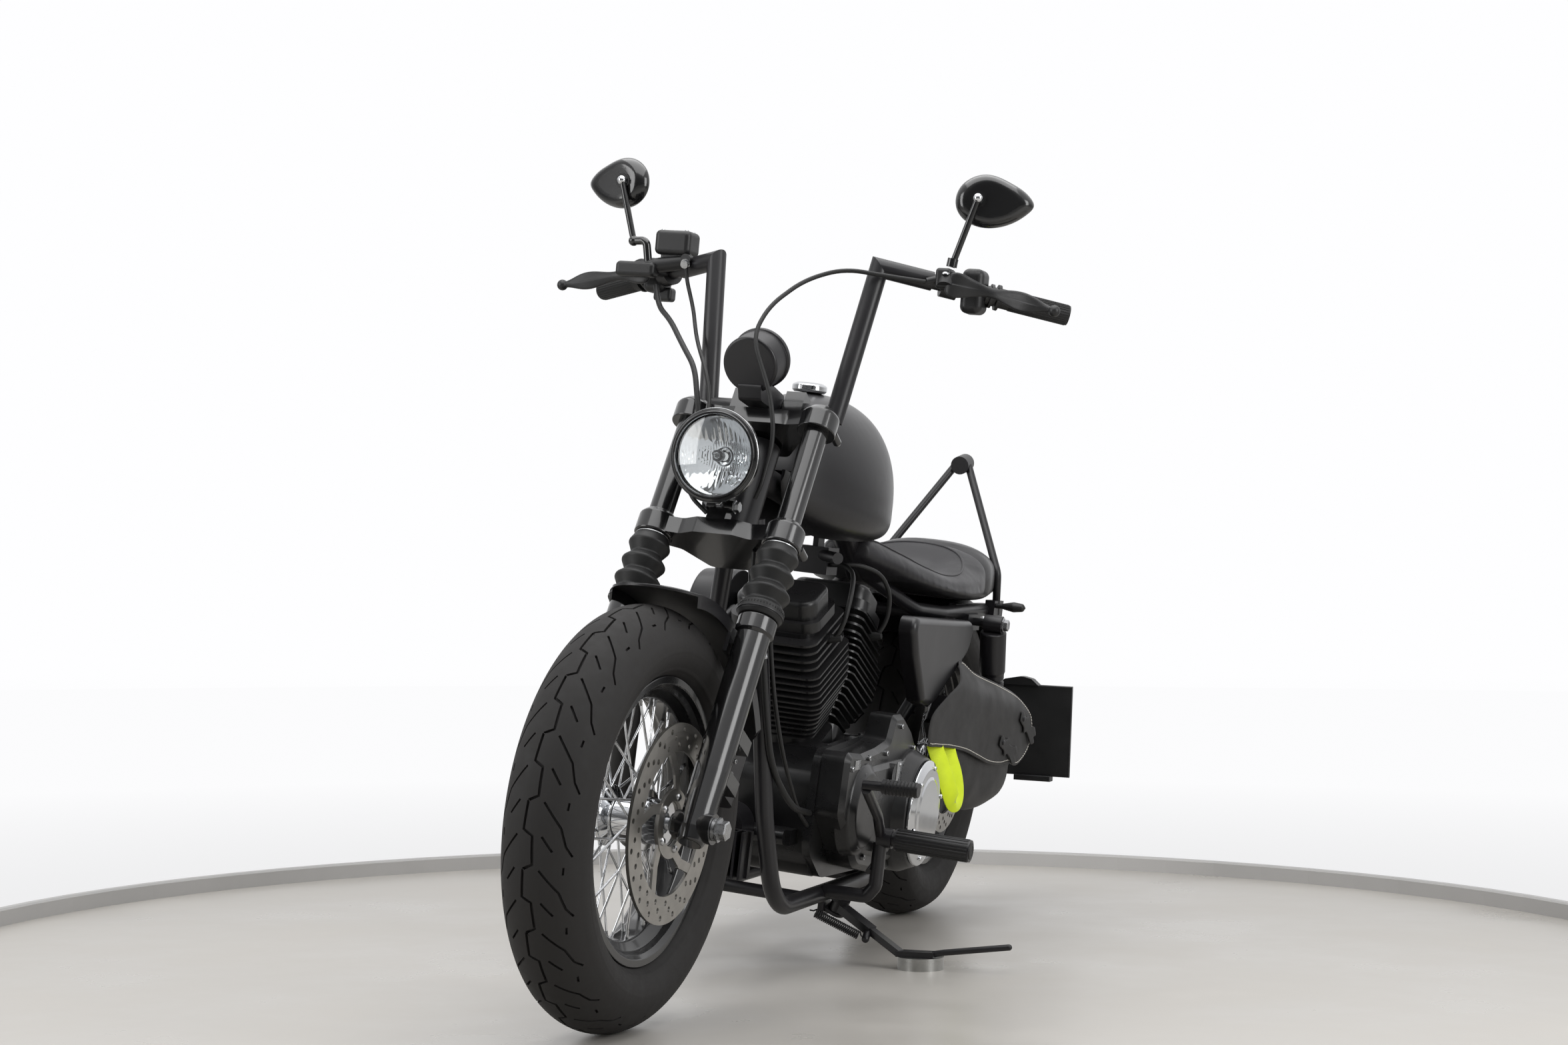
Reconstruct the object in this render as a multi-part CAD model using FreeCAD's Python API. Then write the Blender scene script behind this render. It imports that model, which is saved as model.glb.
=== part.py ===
# Bobber-style V-twin motorcycle, parked on its side stand.
# Millimetres. Built upright and with its wheels in line, in a frame whose
# +X is the rider's left, -Y is ahead and +Z is up, with the ground at z = 0
# and the origin midway between the axles. At the end the steering is turned,
# the whole machine is leaned onto its stand, and it is moved so that the
# middle of its box's bottom is the origin.

import FreeCAD, Part
import math
import os
from FreeCAD import Placement, Rotation, Vector

# Stance
wheelbase = 1520.0
rake_deg = 30.0
fork_offset = 52.0
lean_deg = 6.83
steer_deg = -3.08

# Wheels and tyres
front_tyre_radius = 320.0
front_tyre_width = 132.0
front_crown_radius = 66.0
rear_tyre_radius = 323.0
rear_tyre_width = 152.0
rear_crown_radius = 100.0
tyre_wall = 9.0
bead_radius = 204.3
rim_flange_radius = 217.0
rim_well_radius = 186.0
rim_metal = 5.0
front_rim_width = 92.0
rear_rim_width = 104.0
spokes_per_side = 20
spoke_radius = 2.0
spoke_sweep_deg = 36.0
axle_radius = 10.0
running_gap = 0.05
seat_gap = 0.3

# Brakes and final drive
disc_radius = 150.0
disc_inner_radius = 108.0
disc_thickness = 5.0
front_disc_x = 71.5
rear_disc_x = 76.0
rear_disc_radius = 146.0
disc_hole_radius = 4.2
disc_hole_count = 20
pulley_radius = 92.0
pulley_x = -95.5
belt_width = 22.0
belt_thickness = 6.0
belt_inner_x = -82.0
sprocket_radius = 40.0

# Fork, measured along the tubes from the axle
fork_half_spacing = 110.2
fork_tube_radius = 20.0
fork_leg_radius = 27.0
leg_bottom_s = -28.0
leg_top_s = 352.0
gaiter_top_s = 481.5
lower_clamp_s = 482.0
lower_clamp_height = 34.0
upper_clamp_s = 698.0
upper_clamp_height = 40.0
collar_radius = 31.5
stem_radius = 15.0
head_radius = 32.0
head_gap = 5.5
axle_half_length = 148.0

# Handlebar, in fork coordinates: x, back from the tubes, up along the tubes
bar_radius = 16.0
bar_end_radius = 12.7
bar_base = (113.0, 45.0, 765.0)
bar_elbow = (146.0, -31.0, 1009.0)
bar_tip = (426.0, 125.0, 1045.0)
bar_neck_x = 225.0
grip_radius = 16.5
grip_length = 106.0
lever_tip = (443.0, 14.5, 973.5)
riser_x = 46.0

# Lamp and instrument
lamp_centre = (0.0, -557.0, 874.0)
lamp_radius = 74.0
lamp_depth = 98.0
dial_radius = 47.0
dial_depth = 54.0
dial_back = (0.0, -447.0, 1025.0)
dial_tilt_deg = 19.0

# Engine, measured from the crankshaft
crank_y = -28.0
crank_z = 300.0
cylinder_tilt_deg = 22.5
cylinder_base = 128.0
fin_first = 142.0
fin_pitch = 12.0
fin_count = 12
fin_thickness = 3.2
fin_half_width = 92.0
barrel_radius = 52.0
head_height = 58.0
rocker_height = 52.0
case_half_width = 88.0

# Primary drive cover and clutch
clutch_y = 198.0
clutch_z = 278.0
clutch_bulge_radius = 112.0
derby_radius = 97.0
primary_inner_x = 100.0
primary_outer_x = 150.0
clutch_outer_x = 184.0
derby_thickness = 12.0

# Frame tubes
down_tube_radius = 15.0
rail_radius = 15.0
rail_half_spacing = 88.0
rail_z = 142.0
backbone_radius = 22.0
seat_rail_radius = 13.0
pivot_y = 352.0
pivot_z = 292.0
pivot_lug_x = 60.0
arm_inner_x = 112.0
arm_width = 28.0

# Suspension
shock_x = 168.0
shock_top = (640.0, 618.0)
shock_bottom = (728.0, 340.0)
shock_radius = 26.0

# Side stand, its foot flat on a round block on the ground
puck_centre = (269.0, 10.0)
puck_radius = 40.5
puck_height = 21.5
stand_pivot = (96.0, 40.0, 112.0)
stand_fold = (0.14, 1.0, 0.13)
foot_gap = 0.3


def vec(x, y, z):
    return Vector(float(x), float(y), float(z))


def unit(direction):
    return Vector(direction) * (1.0 / direction.Length)


def rod(start, end, radius):
    return Part.makeCylinder(radius, (end - start).Length, start, end - start)


def disc_x(x0, x1, y, z, radius):
    return Part.makeCylinder(radius, x1 - x0, vec(x0, y, z), vec(1, 0, 0))


def block(x0, x1, y0, y1, z0, z1):
    return Part.makeBox(x1 - x0, y1 - y0, z1 - z0, vec(x0, y0, z0))


def fuse(shapes):
    whole = shapes[0]
    if len(shapes) > 1:
        whole = shapes[0].multiFuse(shapes[1:])
    if not whole.isValid():
        whole = shapes[0]
        for shape in shapes[1:]:
            whole = whole.fuse(shape)
    merged = whole.removeSplitter()
    return merged if merged.isValid() else whole


def mirrored(shape):
    return shape.mirror(vec(0, 0, 0), vec(1, 0, 0))


def both_sides(shape):
    return Part.makeCompound([shape, mirrored(shape)])


def rounded_wire(points, radii, closed):
    # Straight runs joined by tangent arcs of the given radii
    count = len(points)
    corners = []
    for index, corner in enumerate(points):
        radius = radii[index]
        if radius <= 0 or (not closed and index in (0, count - 1)):
            corners.append((corner, None, corner))
            continue
        before = unit(points[index - 1] - corner)
        after = unit(points[(index + 1) % count] - corner)
        half = before.getAngle(after) / 2
        reach = radius / math.tan(half)
        inward = unit(before + after)
        centre = corner + inward * (radius / math.sin(half))
        corners.append((corner + before * reach, centre - inward * radius, corner + after * reach))
    edges = []
    for index in range(count):
        enter, middle, leave = corners[index]
        if middle is not None:
            edges.append(Part.Arc(enter, middle, leave).toShape())
        following = (index + 1) % count
        if closed or following:
            target = corners[following][0]
            if leave.distanceToPoint(target) > 1e-6:
                edges.append(Part.makeLine(leave, target))
    return Part.Wire(edges)


def tube(points, radius, bend=0.0):
    # A round bar along a route whose corners are bent to one radius, or mitred where it is 0
    radii = [bend] * len(points)
    path = rounded_wire(points, radii, False)
    circle = Part.Wire(Part.makeCircle(radius, points[0], points[1] - points[0]))
    corner_style = 0 if bend > 0 else 1
    return path.makePipeShell([circle], True, False, corner_style)


def cable(points, radius):
    # Each arc is as large as its two runs allow
    radii = [0.0]
    for index in range(1, len(points) - 1):
        before = points[index - 1] - points[index]
        after = points[index + 1] - points[index]
        half = before.getAngle(after) / 2
        radii.append(0.45 * min(before.Length, after.Length) * math.tan(half))
    radii.append(0.0)
    path = rounded_wire(points, radii, False)
    circle = Part.Wire(Part.makeCircle(radius, points[0], points[1] - points[0]))
    print("cable bends", [round(r) for r in radii[1:-1]])
    return path.makePipeShell([circle], True, False)


def plate_x(outline, x0, x1):
    # A plate between two x planes; each outline point is y, z and a corner radius
    points = [vec(x0, y, z) for y, z, _ in outline]
    wire = rounded_wire(points, [r for _, _, r in outline], True)
    return Part.Face(wire).extrude(vec(x1 - x0, 0, 0))


def plate_s(outline, s0, s1):
    # The same for a plate across the fork; each outline point is x, back and a corner radius
    points = [vec(x, b, s0) for x, b, _ in outline]
    wire = rounded_wire(points, [r for _, _, r in outline], True)
    return Part.Face(wire).extrude(vec(0, 0, s1 - s0))


def turned_x(profile, start_deg=0.0, sweep_deg=360.0):
    # A ring about the x axis; the profile's points are x, radius and a corner radius
    points = [vec(x, 0, r) for x, r, _ in profile]
    face = Part.Face(rounded_wire(points, [c for _, _, c in profile], True))
    if start_deg:
        face.rotate(vec(0, 0, 0), vec(1, 0, 0), start_deg)
    return face.revolve(vec(0, 0, 0), vec(1, 0, 0), sweep_deg)


def turned_z(profile):
    # A round part about the z axis; the profile's points are radius, height and a corner radius
    points = [vec(r, 0, h) for r, h, _ in profile]
    face = Part.Face(rounded_wire(points, [c for _, _, c in profile], True))
    return face.revolve(vec(0, 0, 0), vec(0, 0, 1), 360)


def along(shape, start, direction):
    # Moves a part built about +Z so that it starts at a point and runs along a direction
    return placed(shape, Placement(start, Rotation(vec(0, 0, 1), direction)))


def placed(shape, placement):
    moved = shape.copy()
    moved.Placement = placement.multiply(moved.Placement)
    return moved


def oval_section(y, half_width, bottom, widest, top, flatness=4.0, crown=2.2, count=20):
    # One closed rib of a lofted body: flat below its widest height, domed above
    points = []
    for step in range(count):
        angle = 2 * math.pi * step / count
        c, s = math.cos(angle), math.sin(angle)
        power = crown if s >= 0 else flatness
        height = (top - widest) if s >= 0 else (widest - bottom)
        x = half_width * math.copysign(abs(c) ** (2 / power), c)
        z = widest + height * math.copysign(abs(s) ** (2 / power), s)
        points.append(vec(x, y, z))
    curve = Part.BSplineCurve()
    curve.interpolate(Points=points, PeriodicFlag=True)
    return Part.Wire(curve.toShape())


# Local frames of the fork and of the two wheels
front_axle = vec(0, -wheelbase / 2, front_tyre_radius)
rear_axle = vec(0, wheelbase / 2, rear_tyre_radius)
fork_frame = Placement(front_axle, Rotation(vec(1, 0, 0), -rake_deg))
steering_axis = fork_frame.Rotation.multVec(vec(0, 0, 1))
steering_point = fork_frame.multVec(vec(0, fork_offset, 0))


def fork_point(x, back, s):
    return fork_frame.multVec(vec(x, back, s))


def on_fork(shape):
    return placed(shape, fork_frame)


def at_front_axle(shape):
    return placed(shape, Placement(front_axle, Rotation()))


def at_rear_axle(shape):
    return placed(shape, Placement(rear_axle, Rotation()))


def mix(a, b, share):
    return tuple(p + (q - p) * share for p, q in zip(a, b))


def bar_at(x):
    # The bar's centre line outboard of its elbow, in fork coordinates
    return vec(*mix(bar_elbow, bar_tip, (x - bar_elbow[0]) / (bar_tip[0] - bar_elbow[0])))


# Where the ground plane of the leaned machine lies in the upright frame
lean_turn = Rotation(vec(0, 1, 0), lean_deg)
ground_drop = max(front_crown_radius, rear_crown_radius) * (1 - math.cos(math.radians(lean_deg)))


def from_ground(x, y, z):
    # A point given on the floor that the leaned machine stands on
    return lean_turn.inverted().multVec(vec(x, y, z - ground_drop))


# Wheels

def tyre(radius, width, crown_radius, rim_width):
    half = width / 2
    bead = rim_width / 2 - rim_metal - seat_gap
    belly = bead_radius + 0.42 * (radius - bead_radius)
    shoulder_x = min(half - 4.0, 0.94 * crown_radius)
    drop = crown_radius - math.sqrt(crown_radius ** 2 - shoulder_x ** 2)

    def side(inset):
        flange_z = bead_radius + 12.0
        shoulder = vec(shoulder_x - inset * 0.8, 0, radius - drop - inset * 0.4)
        crown_mid_x = shoulder_x * 0.5
        crown_mid = vec(crown_mid_x, 0, radius - inset - crown_radius
                        + math.sqrt(crown_radius ** 2 - crown_mid_x ** 2))
        return shoulder, crown_mid, vec(half - inset, 0, belly), vec(bead - inset * 0.6, 0, flange_z)

    shoulder, crown_mid, wide, flange = side(0.0)
    in_shoulder, in_crown_mid, in_wide, in_flange = side(tyre_wall)
    crown = vec(0, 0, radius)
    in_crown = vec(0, 0, radius - tyre_wall)
    outer_bead = vec(bead - 0.4, 0, bead_radius)
    inner_bead = vec(bead - 12.0, 0, bead_radius)
    edges = [
        Part.makeLine(inner_bead, outer_bead),
        Part.makeLine(outer_bead, flange),
        Part.Arc(flange, wide, shoulder).toShape(),
        Part.Arc(shoulder, crown_mid, crown).toShape(),
        Part.makeLine(crown, in_crown),
        Part.Arc(in_crown, in_crown_mid, in_shoulder).toShape(),
        Part.Arc(in_shoulder, in_wide, in_flange).toShape(),
        Part.makeLine(in_flange, inner_bead),
    ]
    half_ring = Part.Face(Part.Wire(edges)).revolve(vec(0, 0, 0), vec(1, 0, 0), 360)
    return fuse([half_ring, mirrored(half_ring)])


def rim(width):
    half = width / 2
    seat = bead_radius - seat_gap
    outside = [(half, rim_flange_radius, 2), (half - rim_metal, rim_flange_radius, 2),
               (half - rim_metal, seat, 2), (half * 0.55, seat - 3, 6), (half * 0.34, rim_well_radius, 6)]
    inside = [(half * 0.4, rim_well_radius - rim_metal, 6), (half * 0.62, seat - 3 - rim_metal, 6),
              (half * 0.86, seat - rim_metal, 3), (half, seat + 1, 3)]
    left = outside[::-1]
    ring = [(x, r, c) for x, r, c in inside] + [(x, r, c) for x, r, c in outside]
    ring += [(-x, r, c) for x, r, c in left] + [(-x, r, c) for x, r, c in inside[::-1]]
    return turned_x(ring)


def spoked_hub(left_end, right_end, flange_x, flange_radius):
    barrel = [(right_end, 0, 0), (right_end, 24, 2), (-flange_x - 4, 30, 2), (-flange_x - 3, flange_radius, 1.5),
              (-flange_x + 3, flange_radius, 1.5), (-flange_x + 12, 26, 6), (flange_x - 12, 26, 6),
              (flange_x - 3, flange_radius, 1.5), (flange_x + 3, flange_radius, 1.5), (flange_x + 4, 34, 2),
              (left_end, 34, 2), (left_end, 0, 0)]
    body = turned_x(barrel)
    spokes = []
    reach = rim_well_radius - 2.0
    for side in (-1, 1):
        for index in range(spokes_per_side):
            root_angle = 2 * math.pi * (index + 0.25 * side) / spokes_per_side
            lean_way = 1 if index % 2 else -1
            tip_angle = root_angle + lean_way * math.radians(spoke_sweep_deg)
            root_x = side * (flange_x + 1.5 * lean_way)
            root = vec(root_x, (flange_radius - 5) * math.cos(root_angle), (flange_radius - 5) * math.sin(root_angle))
            tip = vec(side * 9.0, reach * math.cos(tip_angle), reach * math.sin(tip_angle))
            spokes.append(rod(root, tip, spoke_radius))
    bore = disc_x(right_end - 1, left_end + 1, 0, 0, axle_radius + running_gap)
    return fuse([body] + spokes).cut(bore)


def brake_disc(radius, centre_x, mount_radius):
    ring = disc_x(-disc_thickness / 2, disc_thickness / 2, 0, 0, radius)
    ring = ring.cut(disc_x(-disc_thickness, disc_thickness, 0, 0, disc_inner_radius))
    arms = []
    for index in range(5):
        angle = 2 * math.pi * index / 5
        bend = angle + math.radians(16)
        outer = angle + math.radians(30)
        points = [vec(0, mount_radius * math.cos(angle), mount_radius * math.sin(angle)),
                  vec(0, 76 * math.cos(bend), 76 * math.sin(bend)),
                  vec(0, (disc_inner_radius + 5) * math.cos(outer), (disc_inner_radius + 5) * math.sin(outer))]
        for start, end in zip(points, points[1:]):
            middle = (start + end) * 0.5
            run = Part.makeBox(disc_thickness - 1, 15, (end - start).Length + 10)
            run.translate(vec(-(disc_thickness - 1) / 2, -7.5, -(end - start).Length / 2 - 5))
            arms.append(placed(run, Placement(middle, Rotation(vec(0, 0, 1), end - start))))
    carrier = disc_x(-3, 3, 0, 0, mount_radius + 8).cut(disc_x(-5, 5, 0, 0, mount_radius - 10))
    holes = []
    for row, row_radius in enumerate((disc_inner_radius + 10, (disc_inner_radius + radius) / 2, radius - 10)):
        for index in range(disc_hole_count):
            angle = 2 * math.pi * (index + row / 3) / disc_hole_count
            holes.append(disc_x(-disc_thickness, disc_thickness, row_radius * math.cos(angle),
                                row_radius * math.sin(angle), disc_hole_radius))
    whole = fuse([ring, carrier] + arms).cut(Part.makeCompound(holes))
    whole.translate(vec(centre_x, 0, 0))
    return whole


def front_wheel_parts():
    return {
        "front_tyre": at_front_axle(tyre(front_tyre_radius, front_tyre_width, front_crown_radius, front_rim_width)),
        "front_rim": at_front_axle(rim(front_rim_width)),
        "front_hub": at_front_axle(spoked_hub(front_disc_x - 3, -70, 30, 46)),
        "front_disc": at_front_axle(brake_disc(disc_radius, front_disc_x, 44)),
    }


def rear_wheel_parts():
    body = disc_x(pulley_x - belt_width / 2, pulley_x + belt_width / 2 + 2, 0, 0, pulley_radius)
    windows = [disc_x(pulley_x - 30, pulley_x + 30, 62 * math.cos(a), 62 * math.sin(a), 15)
               for a in [2 * math.pi * k / 5 for k in range(5)]]
    bore = disc_x(pulley_x - 30, pulley_x + 30, 0, 0, 34.0)
    pulley = body.cut(Part.makeCompound(windows + [bore]))
    return {
        "rear_tyre": at_rear_axle(tyre(rear_tyre_radius, rear_tyre_width, rear_crown_radius, rear_rim_width)),
        "rear_rim": at_rear_axle(rim(rear_rim_width)),
        "rear_hub": at_rear_axle(spoked_hub(rear_disc_x - 3, pulley_x - belt_width / 2, 36, 48)),
        "rear_disc": at_rear_axle(brake_disc(rear_disc_radius, rear_disc_x, 44)),
        "rear_pulley": at_rear_axle(pulley),
    }


# Fork and steering

def clamp_plate(nose, s0, s1):
    x = fork_half_spacing
    outline = [(-x, -22, 0), (-60, -14, 20), (-34, -nose, 10), (34, -nose, 10), (60, -14, 20), (x, -22, 0),
               (x, 22, 0), (72, 36, 20), (36, fork_offset + 34, 16), (-36, fork_offset + 34, 16),
               (-72, 36, 20), (-x, 22, 0)]
    return plate_s(outline, s0, s1)


def fork_bores(s0, s1):
    hole = Part.makeCylinder(fork_tube_radius + running_gap, s1 - s0, vec(fork_half_spacing, 0, s0))
    return both_sides(hole)


def lower_clamp():
    top = lower_clamp_s + lower_clamp_height
    collar = turned_z([(0, lower_clamp_s, 0), (collar_radius, lower_clamp_s, 3), (collar_radius, top, 6),
                       (fork_tube_radius + 4, top + 9, 3), (0, top + 9, 0)])
    collar.translate(vec(fork_half_spacing, 0, 0))
    stem = Part.makeCylinder(stem_radius, upper_clamp_s + upper_clamp_height - 1 - lower_clamp_s - 6,
                             vec(0, fork_offset, lower_clamp_s + 6))
    boss = Part.makeCylinder(head_radius, lower_clamp_height - 2, vec(0, fork_offset, lower_clamp_s + 4))
    pinch = [rod(vec(side * (collar_radius + fork_half_spacing - 8), 14, lower_clamp_s + 10),
                 vec(side * (collar_radius + fork_half_spacing - 8), 40, lower_clamp_s + 10), 8) for side in (-1, 1)]
    plate = clamp_plate(24, lower_clamp_s + 3, top - 3)
    lamp_foot = fuse([block(-16, 16, -30, -8, top - 8, top + 12), rod(vec(-22, -20, top + 22), vec(22, -20, top + 22), 11),
                      block(-9, 9, -29, -11, top + 8, top + 26)])
    whole = fuse([plate, collar, mirrored(collar), stem, boss, lamp_foot] + pinch)
    return on_fork(whole.cut(fork_bores(lower_clamp_s - 5, top + 20)))


def upper_clamp():
    top = upper_clamp_s + upper_clamp_height
    cap = turned_z([(0, upper_clamp_s, 0), (collar_radius, upper_clamp_s, 2), (collar_radius, top - 8, 10),
                    (fork_tube_radius, top + 4, 6), (0, top + 4, 0)])
    cap.translate(vec(fork_half_spacing, 0, 0))
    plate = clamp_plate(16, upper_clamp_s + 5, top - 8)
    risers = []
    for side in (-1, 1):
        base = Part.makeCylinder(19, bar_base[2] - top + 20, vec(side * riser_x, bar_base[1], top - 14))
        head = block(side * riser_x - 17, side * riser_x + 17, bar_base[1] - 25, bar_base[1] + 25,
                     bar_base[2] - 14, bar_base[2] + 24)
        risers.append(fuse([base, head]))
    stem_nut = Part.makeCylinder(20, 8, vec(0, fork_offset, top - 8))
    pinch = [rod(vec(side * (collar_radius + fork_half_spacing - 8), 12, upper_clamp_s + 10),
                 vec(side * (collar_radius + fork_half_spacing - 8), 38, upper_clamp_s + 10), 7) for side in (-1, 1)]
    whole = fuse([plate, cap, mirrored(cap), stem_nut] + risers + pinch)
    bar_bore = disc_x(-riser_x - 30, riser_x + 30, bar_base[1], bar_base[2], bar_radius + running_gap)
    stem_bore = Part.makeCylinder(stem_radius + running_gap, 80, vec(0, fork_offset, upper_clamp_s - 5))
    return on_fork(whole.cut(Part.makeCompound([bar_bore, stem_bore, fork_bores(upper_clamp_s - 5, top - 8)])))


def fork_tubes():
    top = upper_clamp_s + upper_clamp_height - 9
    stanchion = Part.makeCylinder(fork_tube_radius, top - leg_top_s + 40, vec(fork_half_spacing, 0, leg_top_s - 40))
    return on_fork(both_sides(stanchion))


def fork_leg(with_caliper):
    profile = [(0, leg_bottom_s, 0), (20, leg_bottom_s, 5), (25, leg_bottom_s + 22, 4), (fork_leg_radius, 90, 8),
               (fork_leg_radius, leg_top_s - 30, 2), (fork_leg_radius + 4, leg_top_s - 26, 2),
               (fork_leg_radius + 4, leg_top_s, 3), (0, leg_top_s, 0)]
    shapes = [turned_z(profile), disc_x(-fork_leg_radius - 2, fork_leg_radius + 4, 0, 0, 23)]
    # Lugs for the fender, and for the caliper on the left leg
    shapes.append(block(-fork_leg_radius - 3, -10, -16, 40, 300, 326))
    if with_caliper:
        shapes += [block(-8, 10, 10, 88, s - 12, s + 12) for s in (104, 174)]
    leg = fuse(shapes)
    bores = [Part.makeCylinder(fork_tube_radius + running_gap, 45, vec(0, 0, leg_top_s - 40)),
             disc_x(-60, 60, 0, 0, axle_radius + running_gap)]
    leg = leg.cut(Part.makeCompound(bores))
    leg.translate(vec(fork_half_spacing, 0, 0))
    return leg


def fork_lowers():
    return on_fork(Part.makeCompound([fork_leg(True), mirrored(fork_leg(False))]))


def fork_gaiters():
    bottom = leg_top_s + seat_gap
    bore = fork_tube_radius + seat_gap
    span = gaiter_top_s - bottom
    ridges = [(bore, bottom, 0), (fork_leg_radius + 5, bottom, 3), (fork_leg_radius + 9, bottom + 0.05 * span, 3),
              (fork_leg_radius + 9, bottom + 0.16 * span, 3), (28, bottom + 0.22 * span, 4),
              (39, bottom + 0.36 * span, 5), (26, bottom + 0.47 * span, 4), (37, bottom + 0.61 * span, 5),
              (24.5, bottom + 0.72 * span, 4), (34.5, bottom + 0.86 * span, 5), (27, gaiter_top_s, 0),
              (bore, gaiter_top_s, 0)]
    gaiter = turned_z(ridges)
    gaiter.translate(vec(fork_half_spacing, 0, 0))
    return on_fork(both_sides(gaiter))


def front_axle_shaft():
    shaft = disc_x(-axle_half_length, axle_half_length, 0, 0, axle_radius)
    nuts = [disc_x(x0, x1, 0, 0, 17) for x0, x1 in ((-axle_half_length + 1, -fork_half_spacing - 31.5),
                                                    (fork_half_spacing + 31.5, axle_half_length - 1))]
    spacers = [disc_x(front_disc_x + 3, fork_half_spacing - fork_leg_radius - 2.3, 0, 0, 16),
               disc_x(-fork_half_spacing + fork_leg_radius + 2.3, -70.5, 0, 0, 16)]
    return at_front_axle(fuse([shaft] + nuts + spacers))


def front_caliper():
    # Straddles the disc behind the left leg, on two lugs
    y, s = 100.0, 139.0
    body = plate_s([(45, -30, 8), (102, -30, 8), (102, 34, 12), (45, 34, 12)], s - 46, s + 46)
    body.translate(vec(0, y, 0))
    slot = block(front_disc_x - 7.6, front_disc_x + 7.6, y - 60, y + 26, s - 60, s + 60)
    bridge = [block(96, 108, y - 24, y - 8, s - 44 + k * 70, s - 26 + k * 70) for k in (0, 1)]
    lug_room = Part.makeCompound([block(101.5, 125, 9, 89, k - 13, k + 13) for k in (104, 174)])
    rim_room = disc_x(0, front_rim_width / 2 + 6, 0, 0, 400)
    tyre_room = disc_x(0, front_tyre_width / 2 + 5, 0, 0, 400).cut(disc_x(-1, 400, 0, 0, bead_radius - 4))
    return on_fork(fuse([body] + bridge).cut(Part.makeCompound([slot, lug_room, rim_room])).cut(tyre_room))


def front_fender():
    inner = 347.0
    sheet = 3.0
    half = 74.0
    shoulder = 9.0
    lip = 20.0
    top = inner + sheet

    def arch(radius, edge):
        return Part.Arc(vec(-edge, 0, radius - shoulder), vec(0, 0, radius), vec(edge, 0, radius - shoulder)).toShape()

    outer = arch(top, half)
    lower = arch(inner, half - sheet)
    edge_r = top - shoulder
    rim_edges = [Part.makeLine(vec(half, 0, edge_r), vec(half, 0, edge_r - lip)),
                 Part.makeLine(vec(half, 0, edge_r - lip), vec(half - sheet, 0, edge_r - lip)),
                 Part.makeLine(vec(half - sheet, 0, edge_r - lip), vec(half - sheet, 0, edge_r - sheet))]
    left_edges = [edge.mirror(vec(0, 0, 0), vec(1, 0, 0)) for edge in rim_edges]
    face = Part.Face(Part.Wire(Part.__sortEdges__([outer, lower] + rim_edges + left_edges)))
    face.rotate(vec(0, 0, 0), vec(1, 0, 0), -75)
    shell = face.revolve(vec(0, 0, 0), vec(1, 0, 0), 78)
    # Both ends are rounded off across the sheet
    front_end = block(-90, 90, -70, 60, 300, 380).cut(Part.makeCylinder(78, 100, vec(0, 60, 290)))
    rear_end = block(-90, 90, -80, 40, 300, 380).cut(Part.makeCylinder(84, 100, vec(0, -80, 290)))
    rear_end.rotate(vec(0, 0, 0), vec(1, 0, 0), -75)
    shell = at_front_axle(shell.cut(Part.makeCompound([front_end, rear_end])))
    ears = on_fork(both_sides(block(half - 1, fork_half_spacing - fork_leg_radius - 3.3, -14, 38, 288, 320)))
    return fuse([shell] + list(ears.Solids))


def headlight_shell():
    # A deep bowl with a stepped bezel, hung from a stud below
    outer = [(0, lamp_depth, 0), (22, lamp_depth, 8), (58, lamp_depth * 0.52, 30), (lamp_radius - 5, 14, 4),
             (lamp_radius, 12, 3), (lamp_radius, 0, 3), (lamp_radius - 9, -4, 1), (lamp_radius - 10, 8, 1),
             (56, lamp_depth * 0.48, 24), (20, lamp_depth - 4, 6), (0, lamp_depth - 4, 0)]
    shell = turned_z(outer)
    shell = along(shell, vec(*lamp_centre), vec(0, 1, 0))
    x, y, z = lamp_centre
    stud = rod(vec(x, y + 30, z - lamp_radius + 12), fork_point(0, -20, lower_clamp_s + lower_clamp_height + 32), 9)
    bowl = along(Part.makeCylinder(lamp_radius - 13, lamp_depth), vec(*lamp_centre), vec(0, 1, 0))
    return fuse([shell, stud.cut(bowl)])


def headlight_reflector():
    bowl = turned_z([(9, lamp_depth * 0.44, 0), (12, lamp_depth * 0.44, 0), (44, 30, 20), (lamp_radius - 11.5, 9, 0),
                     (lamp_radius - 12, 7, 0), (lamp_radius - 14, 7, 0), (42, 27, 20), (9, lamp_depth * 0.4, 0)])
    cap = turned_z([(0, 12, 0), (7, 12, 2), (9, 22, 1), (9, lamp_depth * 0.44, 0), (0, lamp_depth * 0.44, 0)])
    return along(fuse([bowl, cap]), vec(*lamp_centre), vec(0, 1, 0))


def headlight_lens():
    edge = lamp_radius - 9.4
    crown = 9.0
    dome = (edge ** 2 + (crown - 1) ** 2) / (2 * (crown - 1))
    middle = vec(0, 0, dome - crown)
    lens = Part.makeCylinder(edge, crown + 4, vec(0, 0, -crown)).common(Part.makeSphere(dome, middle))
    lens = lens.cut(Part.makeSphere(dome - 4, middle))
    return along(lens, vec(*lamp_centre), vec(0, 1, 0))


def handlebar():
    left = [bar_at(bar_neck_x), vec(*bar_elbow), vec(*bar_base)]
    route = left + [vec(-p.x, p.y, p.z) for p in reversed(left)]
    thick = tube(route, bar_radius)
    end = rod(bar_at(bar_neck_x - 2), vec(*bar_tip), bar_end_radius)
    return on_fork(fuse([thick, end, mirrored(end)]))


def grips():
    start = bar_at(bar_tip[0] - grip_length)
    tip = vec(*bar_tip)
    way = unit(tip - start)
    sleeve = rod(start, tip + way * 3, grip_radius)
    flange = rod(start, start + way * 5, grip_radius + 5)
    bore = rod(start - way, tip, bar_end_radius + running_gap)
    return on_fork(both_sides(fuse([sleeve, flange]).cut(bore)))


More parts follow.
